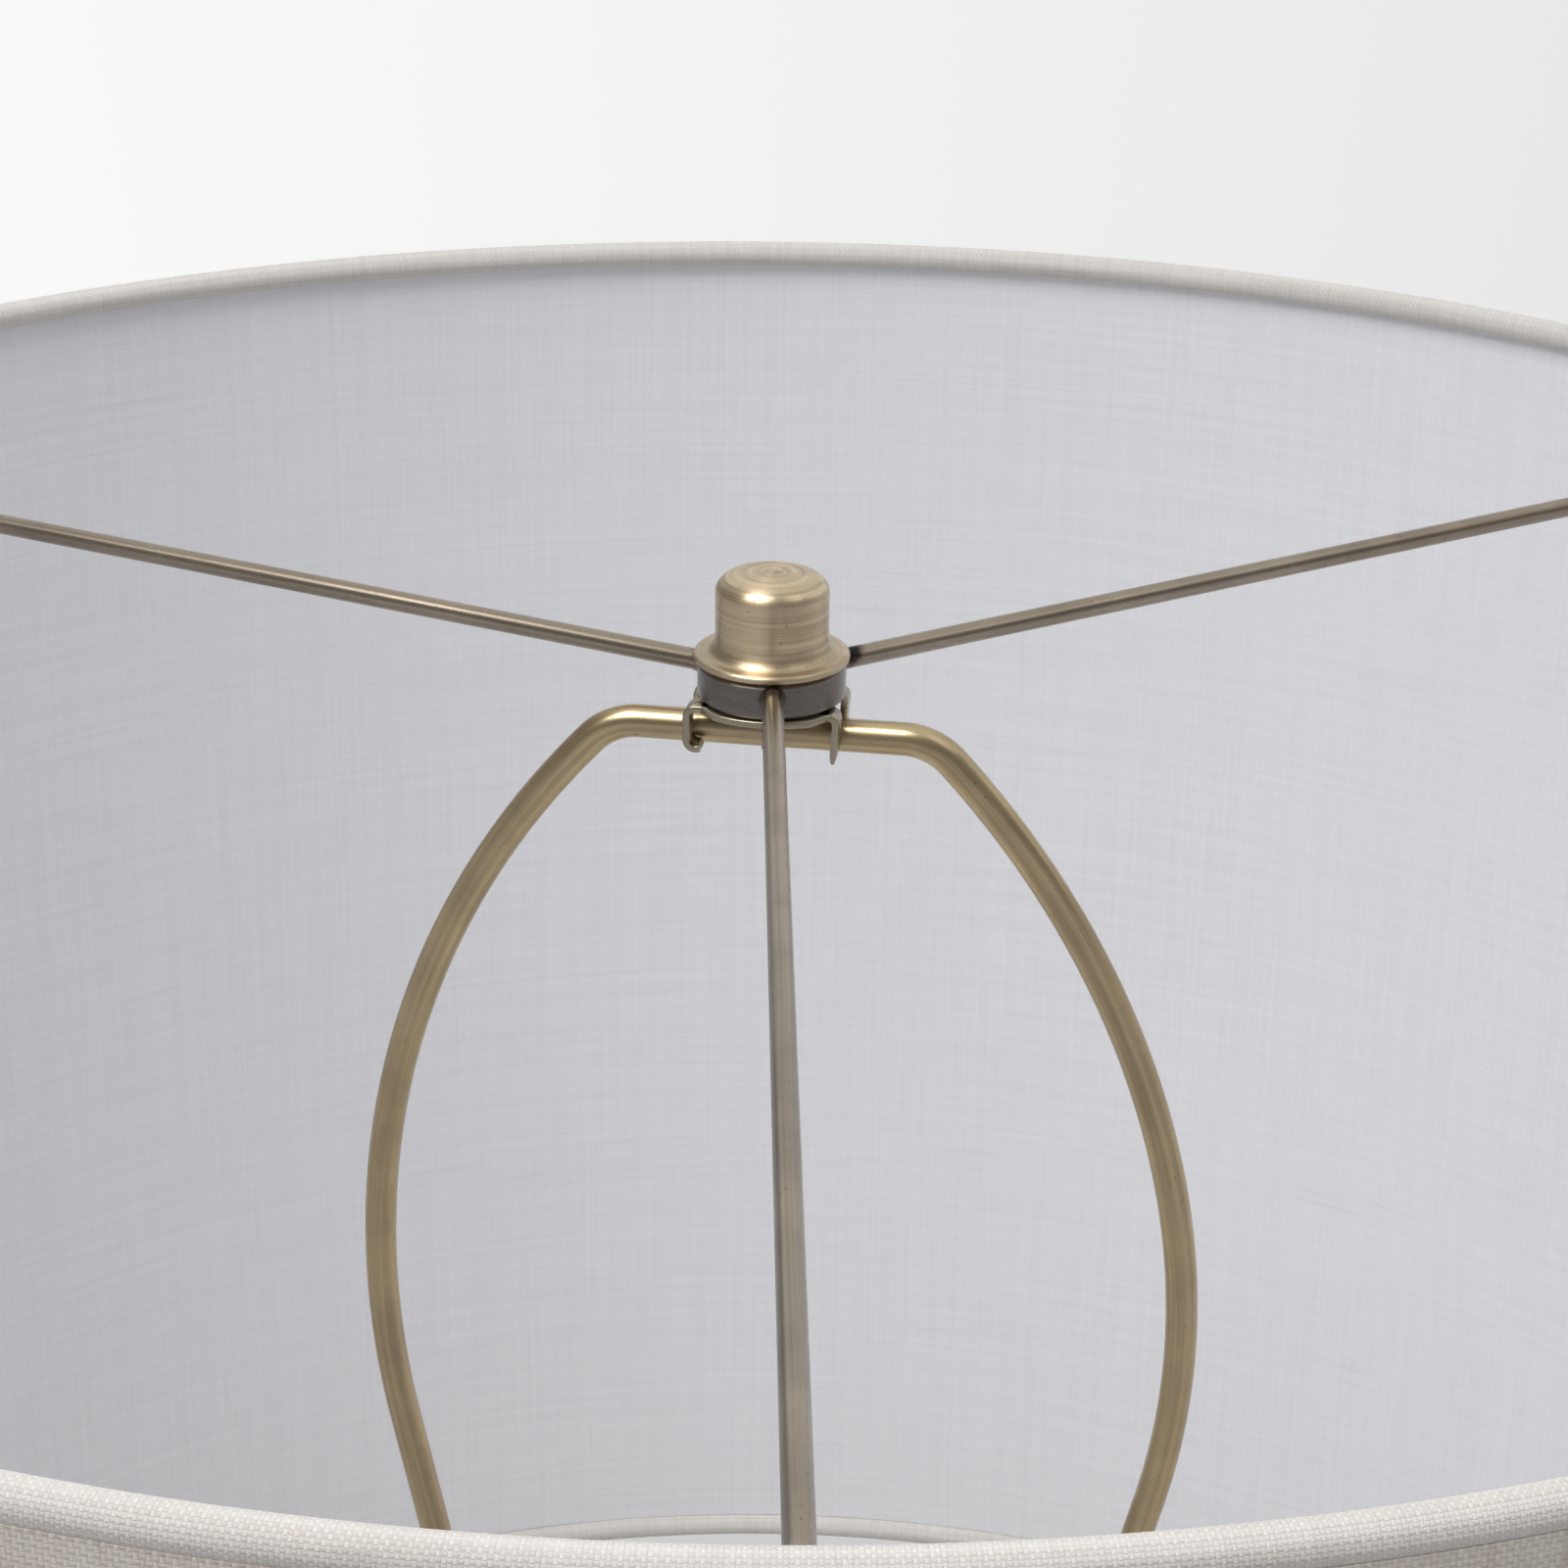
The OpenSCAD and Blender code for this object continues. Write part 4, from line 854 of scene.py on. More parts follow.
@dataclass
class Harp:
    """The bent harp wire, and the clip under the shade's hub."""

    bar_half: float = 17.5 * MM
    bend_radius: float = 9 * MM
    bend_angle: float = math.radians(47)
    bow_radius: float = 122 * MM
    bow_angle: float = math.radians(55.5)
    tuck_radius: float = 45 * MM
    tuck_angle: float = math.radians(14)
    foot_radius: float = 30 * MM
    foot_half: float = 29.5 * MM
    upright: float = 19.5 * MM
    lap: float = 6 * MM
    lap_gap: float = 0.05 * MM
    lap_edge: float = 0.1 * MM
    sway: float = 1.5 * MM
    plate: float = 0.9 * MM
    plate_edge: float = 14 * MM
    stud_hole: float = 3.28 * MM
    clip_bevel: float = 0.12 * MM
    claw: float = 3.4 * MM
    claw_gap: float = 0.15 * MM
    claw_root: float = 1.5 * MM
    straight_claw: float = 6.8 * MM
    straight_bend: float = 1.3 * MM
    straight_lean: float = 0.3 * MM
    hooked_claw: float = 6.5 * MM
    hooked_bend: float = 1.7 * MM
    hooked_end: float = 292

    def __post_init__(self) -> None:
        """Takes the wire's radius and levels from the frame."""
        low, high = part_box("harp")
        self.wire = high.y
        self.bar_height = high.z - self.wire
        self.low = low.z

    def leg(self) -> np.ndarray:
        """The right leg's middle line, as (x, z) points from the bar's middle down to the lap.

        Straights and arcs follow each other without a kink. Along an arc of radius R, the way turns from
        angle a to b, x grows by R (sin b - sin a) and the drop by R (cos a - cos b). The two straights beside
        the tuck are as long as the leg's width and height need.

        Returns:
            The points.
        """
        lean_1 = self.bend_angle + self.bow_angle
        lean_2 = lean_1 + self.tuck_angle
        drop = self.bar_height - self.low - self.upright
        across = self.bar_half - self.foot_half
        turns = [(self.bend_radius, 0, self.bend_angle), (self.bow_radius, self.bend_angle, lean_1),
                 (self.tuck_radius, lean_1, lean_2), (-self.foot_radius, lean_2, math.pi / 2)]
        for radius, start, end in turns:
            across += radius * (math.sin(end) - math.sin(start))
            drop -= radius * (math.cos(start) - math.cos(end))
        slopes = np.array([[math.cos(lean_1), math.cos(lean_2)], [math.sin(lean_1), math.sin(lean_2)]])
        upper, lower = np.linalg.solve(slopes, [-across, drop])
        spot = np.array([self.bar_half, 0.0])
        line = [np.array([[0.0, 0.0], [self.bar_half * 0.5, 0.0]])]
        for (radius, start, end), straight in zip(turns, (0, upper, lower, self.upright)):
            angle = np.linspace(start, end, max(8, int(abs(end - start) / math.radians(1.5))))
            bend = np.stack([np.sin(angle) - math.sin(start), math.cos(start) - np.cos(angle)], axis=1)
            line.append(spot + radius * bend)
            spot = line[-1][-1] + straight * np.array([math.cos(end), math.sin(end)])
        line.append(spot[None])
        path = np.concatenate(line)
        return np.stack([path[:, 0], self.bar_height - path[:, 1]], axis=1)

    def wire_piece(self) -> None:
        """The whole wire, with its end halved over the lap.

        Both legs sway to the same side: x grows by sway x sin(pi s)^2, where s is the share of the drop.
        """
        right = self.leg()
        step = self.low + self.lap
        halved = [[self.foot_half, step + self.lap_edge], [self.foot_half, step]]
        right = np.concatenate([right[:-1], halved, right[-1:]])
        left = right[:0:-1] * (-1, 1)
        flat = np.concatenate([left, right])
        bowed = self.bar_height - self.low - self.upright
        share = np.clip((self.bar_height - flat[:, 1]) / bowed, 0, 1)
        flat[:, 0] += self.sway * np.sin(math.pi * share) ** 2
        line = np.stack([flat[:, 0], np.zeros(len(flat)), flat[:, 1]], axis=1)
        tube = swept(line, np.array([0.0, 1.0, 0.0]), self.wire, 32)
        x, z = tube.points[..., 0], tube.points[..., 2]
        outside = np.sign(x) * np.maximum(np.abs(x), self.foot_half + self.lap_gap)
        tube.points[..., 0] = np.where(z <= step + HAIR, outside, x)
        dress(make_object("harp_wire", [tube], 50), Finish.ANTIQUE_BRASS, "base", ["harp"])

    def plate_reach(self, angle: np.ndarray, hub: float, root: float, claw_out: float) -> np.ndarray:
        """How far the clip's plate reaches at each angle.

        The outline is convex, so its reach is the least of (n . v) / (n . d) over its edges, with n an edge's
        outward way, v a point of it and d the direction.

        Args:
            angle: the directions.
            hub: the hub's radius, which the plate's front and back meet.
            root: half the plate's width at the claws.
            claw_out: where the claws end, towards the front and the back.

        Returns:
            The reach at each angle.
        """
        x = np.linspace(0, hub * 2 / 3, 9)
        y = np.sqrt(self.plate_edge ** 2 - x ** 2) - (self.plate_edge - hub)
        quarter = np.concatenate([np.stack([x, y], 1), [(root, claw_out), (root, 0)]])
        mirrors = [(sx, sy) for sx in (1, -1) for sy in (1, -1)]
        starts = np.concatenate([quarter[:-1] * mirror for mirror in mirrors])
        ends = np.concatenate([quarter[1:] * mirror for mirror in mirrors])
        way = ends - starts
        normal = unit(np.stack([way[:, 1], -way[:, 0]], axis=1))
        normal *= np.sign((normal * starts).sum(1, keepdims=True))
        away = normal @ np.stack([np.cos(angle), np.sin(angle)])
        reach = (normal * starts).sum(1, keepdims=True) / np.maximum(away, 1e-3)
        return np.minimum(reach.min(0), np.linalg.norm(quarter, axis=1).max())

    def plate_surface(self, hub: float, root: float, claw_out: float, top: float) -> Surface:
        """The clip's thin plate, with bevelled edges and the stud's hole.

        Radius = hole + (reach - hole) x s, where s is 1 on the profile's outer side and 0 on its inner one.

        Args:
            hub: the hub's radius.
            root: half the plate's width at the claws.
            claw_out: where the claws end, towards the front and the back.
            top: the plate's upper level.

        Returns:
            The closed surface.
        """
        angle = np.linspace(0, TAU, 193)
        reach = self.plate_reach(angle, hub, root, claw_out)
        ring = wall(1.0, 0.0, top - self.plate, top, 0)
        radius = self.stud_hole + (reach - self.stud_hole)[:, None] * ring[None, :, 0]
        radius = radius - self.clip_bevel * np.array([1, 0, 0, 1, 0, 0, 0, 0, 1])
        height = ring[:, 1] + self.clip_bevel * np.array([0, 1, -1, 0, 0, 0, 0, 0, 0])
        return Surface(round_axis(angle[:, None], radius, height), mapped(angle * hub, along(ring)))

    def hooked_path(self, edge: float, root: float, top: float) -> np.ndarray:
        """A hooked claw's middle line: out from the plate, down, and curled back in at its end.

        Args:
            edge: the claws' outermost place in x.
            root: half the plate's width at the claws.
            top: the plate's upper level.

        Returns:
            Its (x, z) points.
        """
        bend = self.hooked_bend - self.plate / 2
        upper = (edge + self.hooked_bend, top - self.hooked_bend)
        lower = (upper[0], top - self.hooked_claw + self.hooked_bend)
        return np.concatenate([[(self.claw_root - root, top - self.plate / 2)],
                               arc(upper, (bend, bend), 90, 180, 12),
                               arc(lower, (bend, bend), 180, self.hooked_end, 16)])

    def straight_path(self, hub: float, root: float, top: float) -> np.ndarray:
        """A straight claw's middle line: out from the plate and down, leaning in a little.

        Args:
            hub: the hub's radius.
            root: half the plate's width at the claws.
            top: the plate's upper level.

        Returns:
            Its (x, z) points.
        """
        bend = self.straight_bend - self.plate / 2
        middle = (root, top - self.straight_bend)
        tip = np.linspace(0, 1, 10)
        shaft = np.stack([hub - self.plate / 2 - self.straight_lean * tip,
                          middle[1] + (top - self.straight_claw - middle[1]) * tip], 1)
        return np.concatenate([[(root - self.claw_root, top - self.plate / 2)],
                               arc(middle, (bend, bend), 90, 0, 12), shaft[1:]])

    def clip(self) -> None:
        """The thin plate with a pair of hooked claws on the left and a pair of straight ones on the right."""
        low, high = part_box("harp_clip")
        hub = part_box("spider_hub")[1].x
        root = hub - self.straight_bend
        claw_in = self.wire + self.claw_gap
        hooked = self.hooked_path(low.x, root, high.z)
        straight = self.straight_path(hub, root, high.z)
        rounded = np.full(len(straight), self.plate)
        rounded[-3:] *= (0.97, 0.85, 0.45)
        parts = [self.plate_surface(hub, root, claw_in + self.claw, high.z)]
        for near in (-claw_in - self.claw, claw_in):
            for path, thick in ((hooked, np.full(len(hooked), self.plate)), (straight, rounded)):
                parts.append(ribbon(path, thick, near, near + self.claw, self.clip_bevel))
        worn = Finish.DARK_BRONZE.variant("clip_bronze", light=(0.5, 0.445, 0.34), dark=(0.29, 0.25, 0.185),
                                          warm=(0.4, 0.32, 0.2))
        dress(make_object("clip", parts, 50), Finish.DARK_BRONZE, "base", ["harp_clip"], worn)

    def build(self) -> None:
        """Makes the wire and the clip."""
        self.wire_piece()
        self.clip()


@dataclass
class Finial:
    """The spun cap over the hub."""

    flange: float = 10.2 * MM
    lip: float = 1.1 * MM
    side: float = 7.4 * MM
    sweep: tuple[float, float] = (1.6 * MM, 2.6 * MM)
    shoulder: tuple[float, float] = (3.5 * MM, 2.4 * MM)
    crown: float = 0.4 * MM
    skin: float = 0.8 * MM

    def build(self) -> None:
        """Turns the cap's profile: rolled flange, hollow sweep, straight side, shoulder and low crown.

        The crown's height above the shoulder = crown x sin(a), while its radius falls evenly to the axis.
        """
        low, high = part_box("finial_cap")
        height = high.z - low.z
        half = self.lip / 2
        middle = (self.side - self.shoulder[0], height - self.crown - self.shoulder[1])
        rise = self.crown * np.sin(np.linspace(0, math.pi / 2, 12))
        crown_arc = np.stack([np.linspace(middle[0], 0, 12), height - self.crown + rise], axis=1)[1:]
        inner_shoulder = tuple(part - self.skin for part in self.shoulder)
        outside = np.concatenate([
            arc((self.flange - half, half), (half, half), -90, 90, 12),
            arc((self.side + self.sweep[0], self.lip + self.sweep[1]), self.sweep, 270, 180, 16),
            arc(middle, self.shoulder, 0, 90, 18), crown_arc])
        inside = np.concatenate([[(0, height - self.skin)], arc(middle, inner_shoulder, 90, 0, 10),
                                 [(self.side - self.skin, 0), (self.flange - half, 0)]])
        profile = np.concatenate([outside, inside]) + (0, low.z)
        cap = make_object("finial_cap_spun", [turned(profile)], 45)
        bright = Finish.ANTIQUE_BRASS.variant("spun_brass", light=(0.74, 0.6, 0.4), dark=(0.4, 0.32, 0.215),
                                              roughness=0.36, wear=0.36, spun=0.65)
        dress(cap, Finish.ANTIQUE_BRASS, "finial_cap", ["finial_cap"], bright)


@dataclass(frozen=True)
class Arm:
    """One arm of the spider: its side, its way in degrees, and the reach of the burnt solder at its root."""

    side: str
    angle: float
    solder: float = 0.2 * MM


@dataclass
class Shade:
    """The drum shade: spider, rolled hems, linen panel and white lining."""

    arms: tuple[Arm, ...] = (Arm("front", -80.2), Arm("right", 38.5, 2.4 * MM), Arm("left", 164.0))
    arm: float = 1.4 * MM
    arm_start: float = 5.8 * MM
    arm_below_hub: float = 2.0 * MM
    arm_below_ring: float = 0.86 * MM
    solder_out: float = 1.2 * MM
    solder_up: float = 1.6 * MM
    hub_bore: float = 3.25 * MM
    hub_bevel: float = 0.55 * MM
    hem_share: float = 0.985
    hem_ripple: float = 0.0072
    panel: float = 1.3 * MM
    panel_proud: float = 0.12 * MM
    panel_tucked: float = 1.1 * MM
    lining: float = 0.6 * MM
    seam_angle: float = math.radians(203)
    seam_width: float = 11 * MM
    seam_rise: float = 0.35 * MM
    seam_sunk: float = 0.05 * MM
    seam_inset: float = 0.3 * MM
    seam_thick: float = 0.3 * MM
    seam_shift: float = 0.3

    def __post_init__(self) -> None:
        """Takes the shade's circles and levels from the frame."""
        ring_low, ring_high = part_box("top_ring")
        hem_low, hem_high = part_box("top_hem")
        self.ring_height = (ring_low.z + ring_high.z) / 2
        self.roll = (hem_high.z - hem_low.z) / 2
        self.ring = hem_high.x - self.roll
        bottom_low, bottom_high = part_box("bottom_hem")
        self.bottom_height = (bottom_low.z + bottom_high.z) / 2

    def hub(self) -> None:
        """The thick round hub, with bevelled edges and a bore for the stud."""
        low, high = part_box("spider_hub")
        profile = wall(high.x, self.hub_bore, low.z, high.z, self.hub_bevel)
        dull = Finish.DARK_BRONZE.variant("hub_bronze", light=(0.215, 0.19, 0.17), dark=(0.15, 0.13, 0.115),
                                          warm=(0.17, 0.14, 0.115), spun=0.3)
        piece = make_object("hub", [turned(profile, 128)])
        dress(piece, Finish.DARK_BRONZE, "shade", ["spider_hub"], dull)

    def arm_piece(self, arm: Arm) -> None:
        """One straight arm, from its hole in the hub to the ring, with a small collar of solder at each end.

        Point = out x (start + (end - start) x share), at a level that goes evenly from low to high, and the
        radius there = arm + swell.

        Args:
            arm: the arm's side, way and solder.
        """
        hub_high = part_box("spider_hub")[1]
        angle = math.radians(arm.angle)
        out = np.array([math.cos(angle), math.sin(angle), 0.0])
        start, end = self.arm_start, self.ring - self.arm
        low, high = hub_high.z - self.arm_below_hub, self.ring_height - self.arm_below_ring
        share = np.array([0, 0.0155, 0.0185, 0.0205, 0.0235, 0.028, 0.25, 0.5, 0.75, 0.985, 0.992, 1.0])
        swell = np.array([0, 0, 0.32, 0.38, 0.2, 0, 0, 0, 0, 0, 0.25, 0.4]) * MM
        line = out * (start + (end - start) * share)[:, None]
        line[:, 2] = low + (high - low) * share
        tube = swept(line, np.array([0.0, 0.0, 1.0]), self.arm + swell)
        root = out * (hub_high.x + self.solder_out)
        root[2] = low + self.solder_up
        name = f"arm_{arm.side}"
        burnt = Finish.DARK_BRONZE.variant(name + "_bronze", line_length=60 * MM, solder_at=tuple(root),
                                           solder_size=arm.solder)
        piece = make_object(name, [tube])
        dress(piece, Finish.DARK_BRONZE, "shade", [f"spider_arm_{arm.side}"], burnt)

    def hem(self, name: str, height: float, node: str, phase: float) -> None:
        """Linen rolled round a ring wire: a torus whose section swells and dips a little on the way round.

        Section radius = roll x (share + ripple x (sin(7a + phase) + sin(19a + 2 phase))).

        Args:
            name: the piece's name.
            height: level of the ring's middle.
            node: the CAD node that it stands for.
            phase: turns the swelling, so that the two hems differ.
        """
        around, section = np.meshgrid(np.linspace(0, TAU, 513), np.linspace(0, TAU, 29), indexing="ij")
        ripple = np.sin(7 * around + phase) + np.sin(19 * around + 2 * phase)
        radius = self.roll * (self.hem_share + self.hem_ripple * ripple)
        points = round_axis(around, self.ring + radius * np.cos(section), height + radius * np.sin(section))
        uv = np.stack([around * self.ring, section * self.roll], axis=2)
        dress(make_object(name, [Surface(points, uv)], 60), Finish.HEM_LINEN, "shade", [node])

    def cylinder(self, name: str, node: str, finish: Finish, thick: float, proud: float = 0,
                 tucked: float = 0) -> None:
        """A thin upright wall of cloth about as wide and high as its CAD node, with many steps round.

        Args:
            name: the piece's name.
            node: the CAD node that it stands for, which gives its radius and levels.
            finish: its cloth.
            thick: the wall's thickness.
            proud: how far it stands outside the node.
            tucked: how far its edges go under the rolled hems.
        """
        low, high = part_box(node)
        outer = high.x + proud
        heights = np.linspace(low.z - tucked, high.z + tucked, 24)
        profile = np.concatenate([np.stack([np.full(24, outer), heights], 1),
                                  np.stack([np.full(24, outer - thick), heights[::-1]], 1),
                                  [[outer, heights[0]]]])
        dress(make_object(name, [turned(profile, 384)]), finish, "shade", [node])

    def seam(self) -> None:
        """The overlap where the panel's two ends are glued: a strip that stands a little proud of the panel.

        Point = (r cos a, r sin a, z), with r = panel + rise x (1 - x^8) for x from -1 to 1 across the strip.
        The map starts elsewhere than the panel's, so that the two weaves do not run on.
        """
        low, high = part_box("shade_panel")
        across = np.linspace(-1, 1, 17)
        radius = high.x - self.seam_sunk + self.seam_rise * (1 - across ** 8)
        angle = self.seam_angle + across * self.seam_width / 2 / high.x
        heights = np.linspace(low.z + self.seam_inset, high.z - self.seam_inset, 20)
        points = round_axis(angle[:, None], radius[:, None], heights)
        uv = mapped(across * self.seam_width / 2 + self.seam_shift, heights)
        piece = make_object("panel_seam", [Surface(points, uv)])
        solid = piece.modifiers.new("thickness", "SOLIDIFY")
        solid.thickness = self.seam_thick
        solid.offset = -1
        dress(piece, Finish.OUTER_LINEN, "shade", [])

    def build(self) -> None:
        """Makes every piece of the shade."""
        self.hub()
        for arm in self.arms:
            self.arm_piece(arm)
        self.hem("upper_roll", self.ring_height, "top_hem", 0.0)
        self.hem("lower_roll", self.bottom_height, "bottom_hem", 1.9)
        self.cylinder("panel_linen", "shade_panel", Finish.OUTER_LINEN, self.panel, self.panel_proud,
                      self.panel_tucked)
        self.cylinder("lining_cloth", "shade_lining", Finish.WHITE_LINING, self.lining)
        self.seam()


@dataclass
class Rope:
    """One laid rope of three strands, wound in a single layer over the core from the foot to the cap."""

    foot: tuple[float, float] = (70 * MM, 0.0)
    belly: tuple[float, float] = (106 * MM, 90 * MM)
    waist: tuple[float, float] = (36 * MM, 160 * MM)
    top: tuple[float, float] = (34 * MM, 286 * MM)
    rope: float = 12.7 * MM
    gap: float = 0.55 * MM
    seat: float = 0.2 * MM
    lay: float = 44 * MM
    strands: int = 3
    pressed: float = 1.04
    ring_step: float = 4.2 * MM
    strand_sides: int = 12

    def middle_line(self) -> tuple[np.ndarray, np.ndarray]:
        """The rope's middle, and the winding's outward direction, at even steps along the rope.

        The winding's side is a cubic curve (r, z) of t. The angle grows by one turn for each pitch along
        that curve: angle = 2 pi x (length along it) / pitch, and the middle = (r cos angle, r sin angle, z).

        Returns:
            The middle's points and the outward directions.
        """
        t = np.linspace(0, 1, 6001)[:, None]
        p0, p1, p2, p3 = (np.array(p) for p in (self.foot, self.belly, self.waist, self.top))
        curve = (1 - t) ** 3 * p0 + 3 * t * (1 - t) ** 2 * p1 + 3 * t * t * (1 - t) * p2 + t ** 3 * p3
        slope = unit((1 - t) ** 2 * (p1 - p0) + 2 * t * (1 - t) * (p2 - p1) + t * t * (p3 - p2))
        pitch = self.rope + self.gap
        angle = TAU * along(curve) / pitch
        fall = self.rope * pitch / (TAU * self.foot[0])
        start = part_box("body_core")[0].z + self.seat + fall + self.rope / 2
        middle = round_axis(angle, curve[:, 0], start + curve[:, 1])
        outward = round_axis(angle, slope[:, 1], -slope[:, 0])
        reach = along(middle)
        even = np.linspace(0, reach[-1], int(reach[-1] / self.ring_step))
        middle, outward = (np.stack([np.interp(even, reach, part[:, k]) for k in range(3)], axis=1)
                           for part in (middle, outward))
        run = np.linspace(self.rope, 0, 4)[:-1, None]
        first, last = unit(middle[1] - middle[0]), unit(middle[-1] - middle[-2])
        middle = np.concatenate([middle[0] - run * first, middle, middle[-1] + run[::-1] * last])
        outward = np.concatenate([np.repeat(outward[:1], 3, 0), outward, np.repeat(outward[-1:], 3, 0)])
        return middle, unit(outward)

    def build(self) -> None:
        """Lays the strands: each runs round the rope's middle, one turn a lay, and touches the other two.

        Three strands in a rope of radius R have the radius R / (1 + 2 / sqrt 3), and are pressed a little
        into each other.
        """
        middle, outward = self.middle_line()
        way = unit(np.gradient(middle, axis=0))
        outward = unit(outward - (outward * way).sum(1, keepdims=True) * way)
        upward = np.cross(way, outward)
        radius = self.rope / 2 / (1 + 2 / math.sqrt(3))
        offset = self.rope / 2 - radius
        reach = along(middle)
        parts = []
        for strand in range(self.strands):
            turn = TAU * (reach / self.lay + strand / self.strands)
            side = np.cos(turn)[:, None] * outward + np.sin(turn)[:, None] * upward
            parts.append(swept(middle + offset * side, side, radius * self.pressed, self.strand_sides))
        piece = make_object("rope_strands", parts, 80)
        dress(piece, Finish.NATURAL_ROPE, "base", ["rope_winding"])


@dataclass
class Base:
    """The turned and spun brass of the foot, the body's cap, the ring and the neck, bored for the pipe."""

    bore: float = 4.85 * MM
    cut: float = 0.4 * MM
    foot_skin: float = 2 * MM
    foot_edge: float = 5 * MM
    rim_inset: float = 6.4 * MM
    rim_half: float = 0.9 * MM
    rim_fillet: float = 0.8 * MM
    cap_skin: float = 1.5 * MM
    cap_edge: float = 4 * MM
    neck_waist: float = 8.5 * MM
    neck_head: float = 13 * MM
    neck_band: float = 4 * MM
    neck_round: float = 1 * MM
    neck_step: tuple[float, float] = (2 * MM, 1.5 * MM)
    neck_cut: float = 0.8 * MM

    def foot(self) -> None:
        """The foot: a hollow drum with a rounded edge, and a rim on it that hides the first turn of rope."""
        low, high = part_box("foot")
        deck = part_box("body_core")[0].z
        radius, skin, edge = high.x, self.foot_skin, self.foot_edge
        rim, half, fillet = radius - self.rim_inset, self.rim_half, self.rim_fillet
        rounding = (radius - edge, deck - edge)
        shell = np.concatenate([
            [(radius - skin, low.z), (radius - self.cut, low.z), (radius, low.z + self.cut)],
            arc(rounding, (edge, edge), 0, 90, 12),
            [(rim + fillet, deck)],
            arc((rim + fillet, deck + fillet), (fillet, fillet), 270, 180, 6),
            arc((rim - half, high.z - half), (half, half), 0, 180, 12),
            [(rim - 2 * half, deck), (self.bore, deck), (self.bore, deck - skin), (rounding[0], deck - skin)],
            arc(rounding, (edge - skin, edge - skin), 90, 0, 8),
            [(radius - skin, low.z)]])
        dress(make_object("foot_spun", [turned(shell, 224)]), Finish.ANTIQUE_BRASS, "base", ["foot"])

    def cap(self) -> None:
        """The body's cap: a flat top, a rounded shoulder and a lip with a rolled edge."""
        low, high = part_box("body_cap")
        radius, skin, edge = high.x, self.cap_skin, self.cap_edge
        rounding = (radius - edge, high.z - edge)
        profile = np.concatenate([
            arc((radius - skin / 2, low.z + skin / 2), (skin / 2, skin / 2), 180, 360, 10),
            arc(rounding, (edge, edge), 0, 90, 12),
            [(self.bore, high.z), (self.bore, high.z - skin), (rounding[0], high.z - skin)],
            arc(rounding, (edge - skin, edge - skin), 90, 0, 8),
            [(radius - skin, low.z + skin / 2)]])
        dress(make_object("cap_spun", [turned(profile)]), Finish.ANTIQUE_BRASS, "base", ["body_cap"])

    def ring(self) -> None:
        """The dark ring between the cap and the neck, whose edge is one half-round bead."""
        low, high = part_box("check_ring")
        bead = (high.z - low.z) / 2
        profile = np.concatenate([[(self.bore, low.z)],
                                  arc((high.x - bead, low.z + bead), (bead, bead), -90, 90, 20),
                                  [(self.bore, high.z), (self.bore, low.z)]])
        piece = make_object("ring_turned", [turned(profile, 128)])
        dress(piece, Finish.DARK_BRONZE, "base", ["check_ring"])

    def neck(self) -> None:
        """The neck: a spindle whose hollow follows a sine between its two bands.

        Radius = straight + (waist - straight) x sin(pi u^0.8)^1.4, for u from 0 at the lower band to 1 at the
        upper one.
        """
        low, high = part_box("neck")
        foot, head, band, edge = high.x, self.neck_head, self.neck_band, self.neck_round
        u = np.linspace(0, 1, 48)
        lower, upper = foot - self.neck_step[0], head - self.neck_step[1]
        straight = lower + (upper - lower) * u
        hollow = np.abs(np.sin(math.pi * u ** 0.8)) ** 1.4
        sweep = np.stack([straight + (self.neck_waist - straight) * hollow,
                          low.z + band + (high.z - low.z - 2 * band) * u], axis=1)
        profile = np.concatenate([
            [(self.bore, low.z), (foot - self.cut, low.z), (foot, low.z + self.cut)],
            arc((foot - edge, low.z + band - edge), (edge, edge), 0, 90, 7), sweep,
            [(head - self.neck_cut, high.z - band), (head, high.z - band + self.neck_cut),
             (head, high.z - self.cut), (head - self.cut, high.z), (self.bore, high.z), (self.bore, low.z)]])
        piece = make_object("neck_turned", [turned(profile, 128)])
        dress(piece, Finish.ANTIQUE_BRASS, "base", ["neck"])

    def build(self) -> None:
        """Makes the base's brass."""
        self.foot()
        self.cap()
        self.ring()
        self.neck()


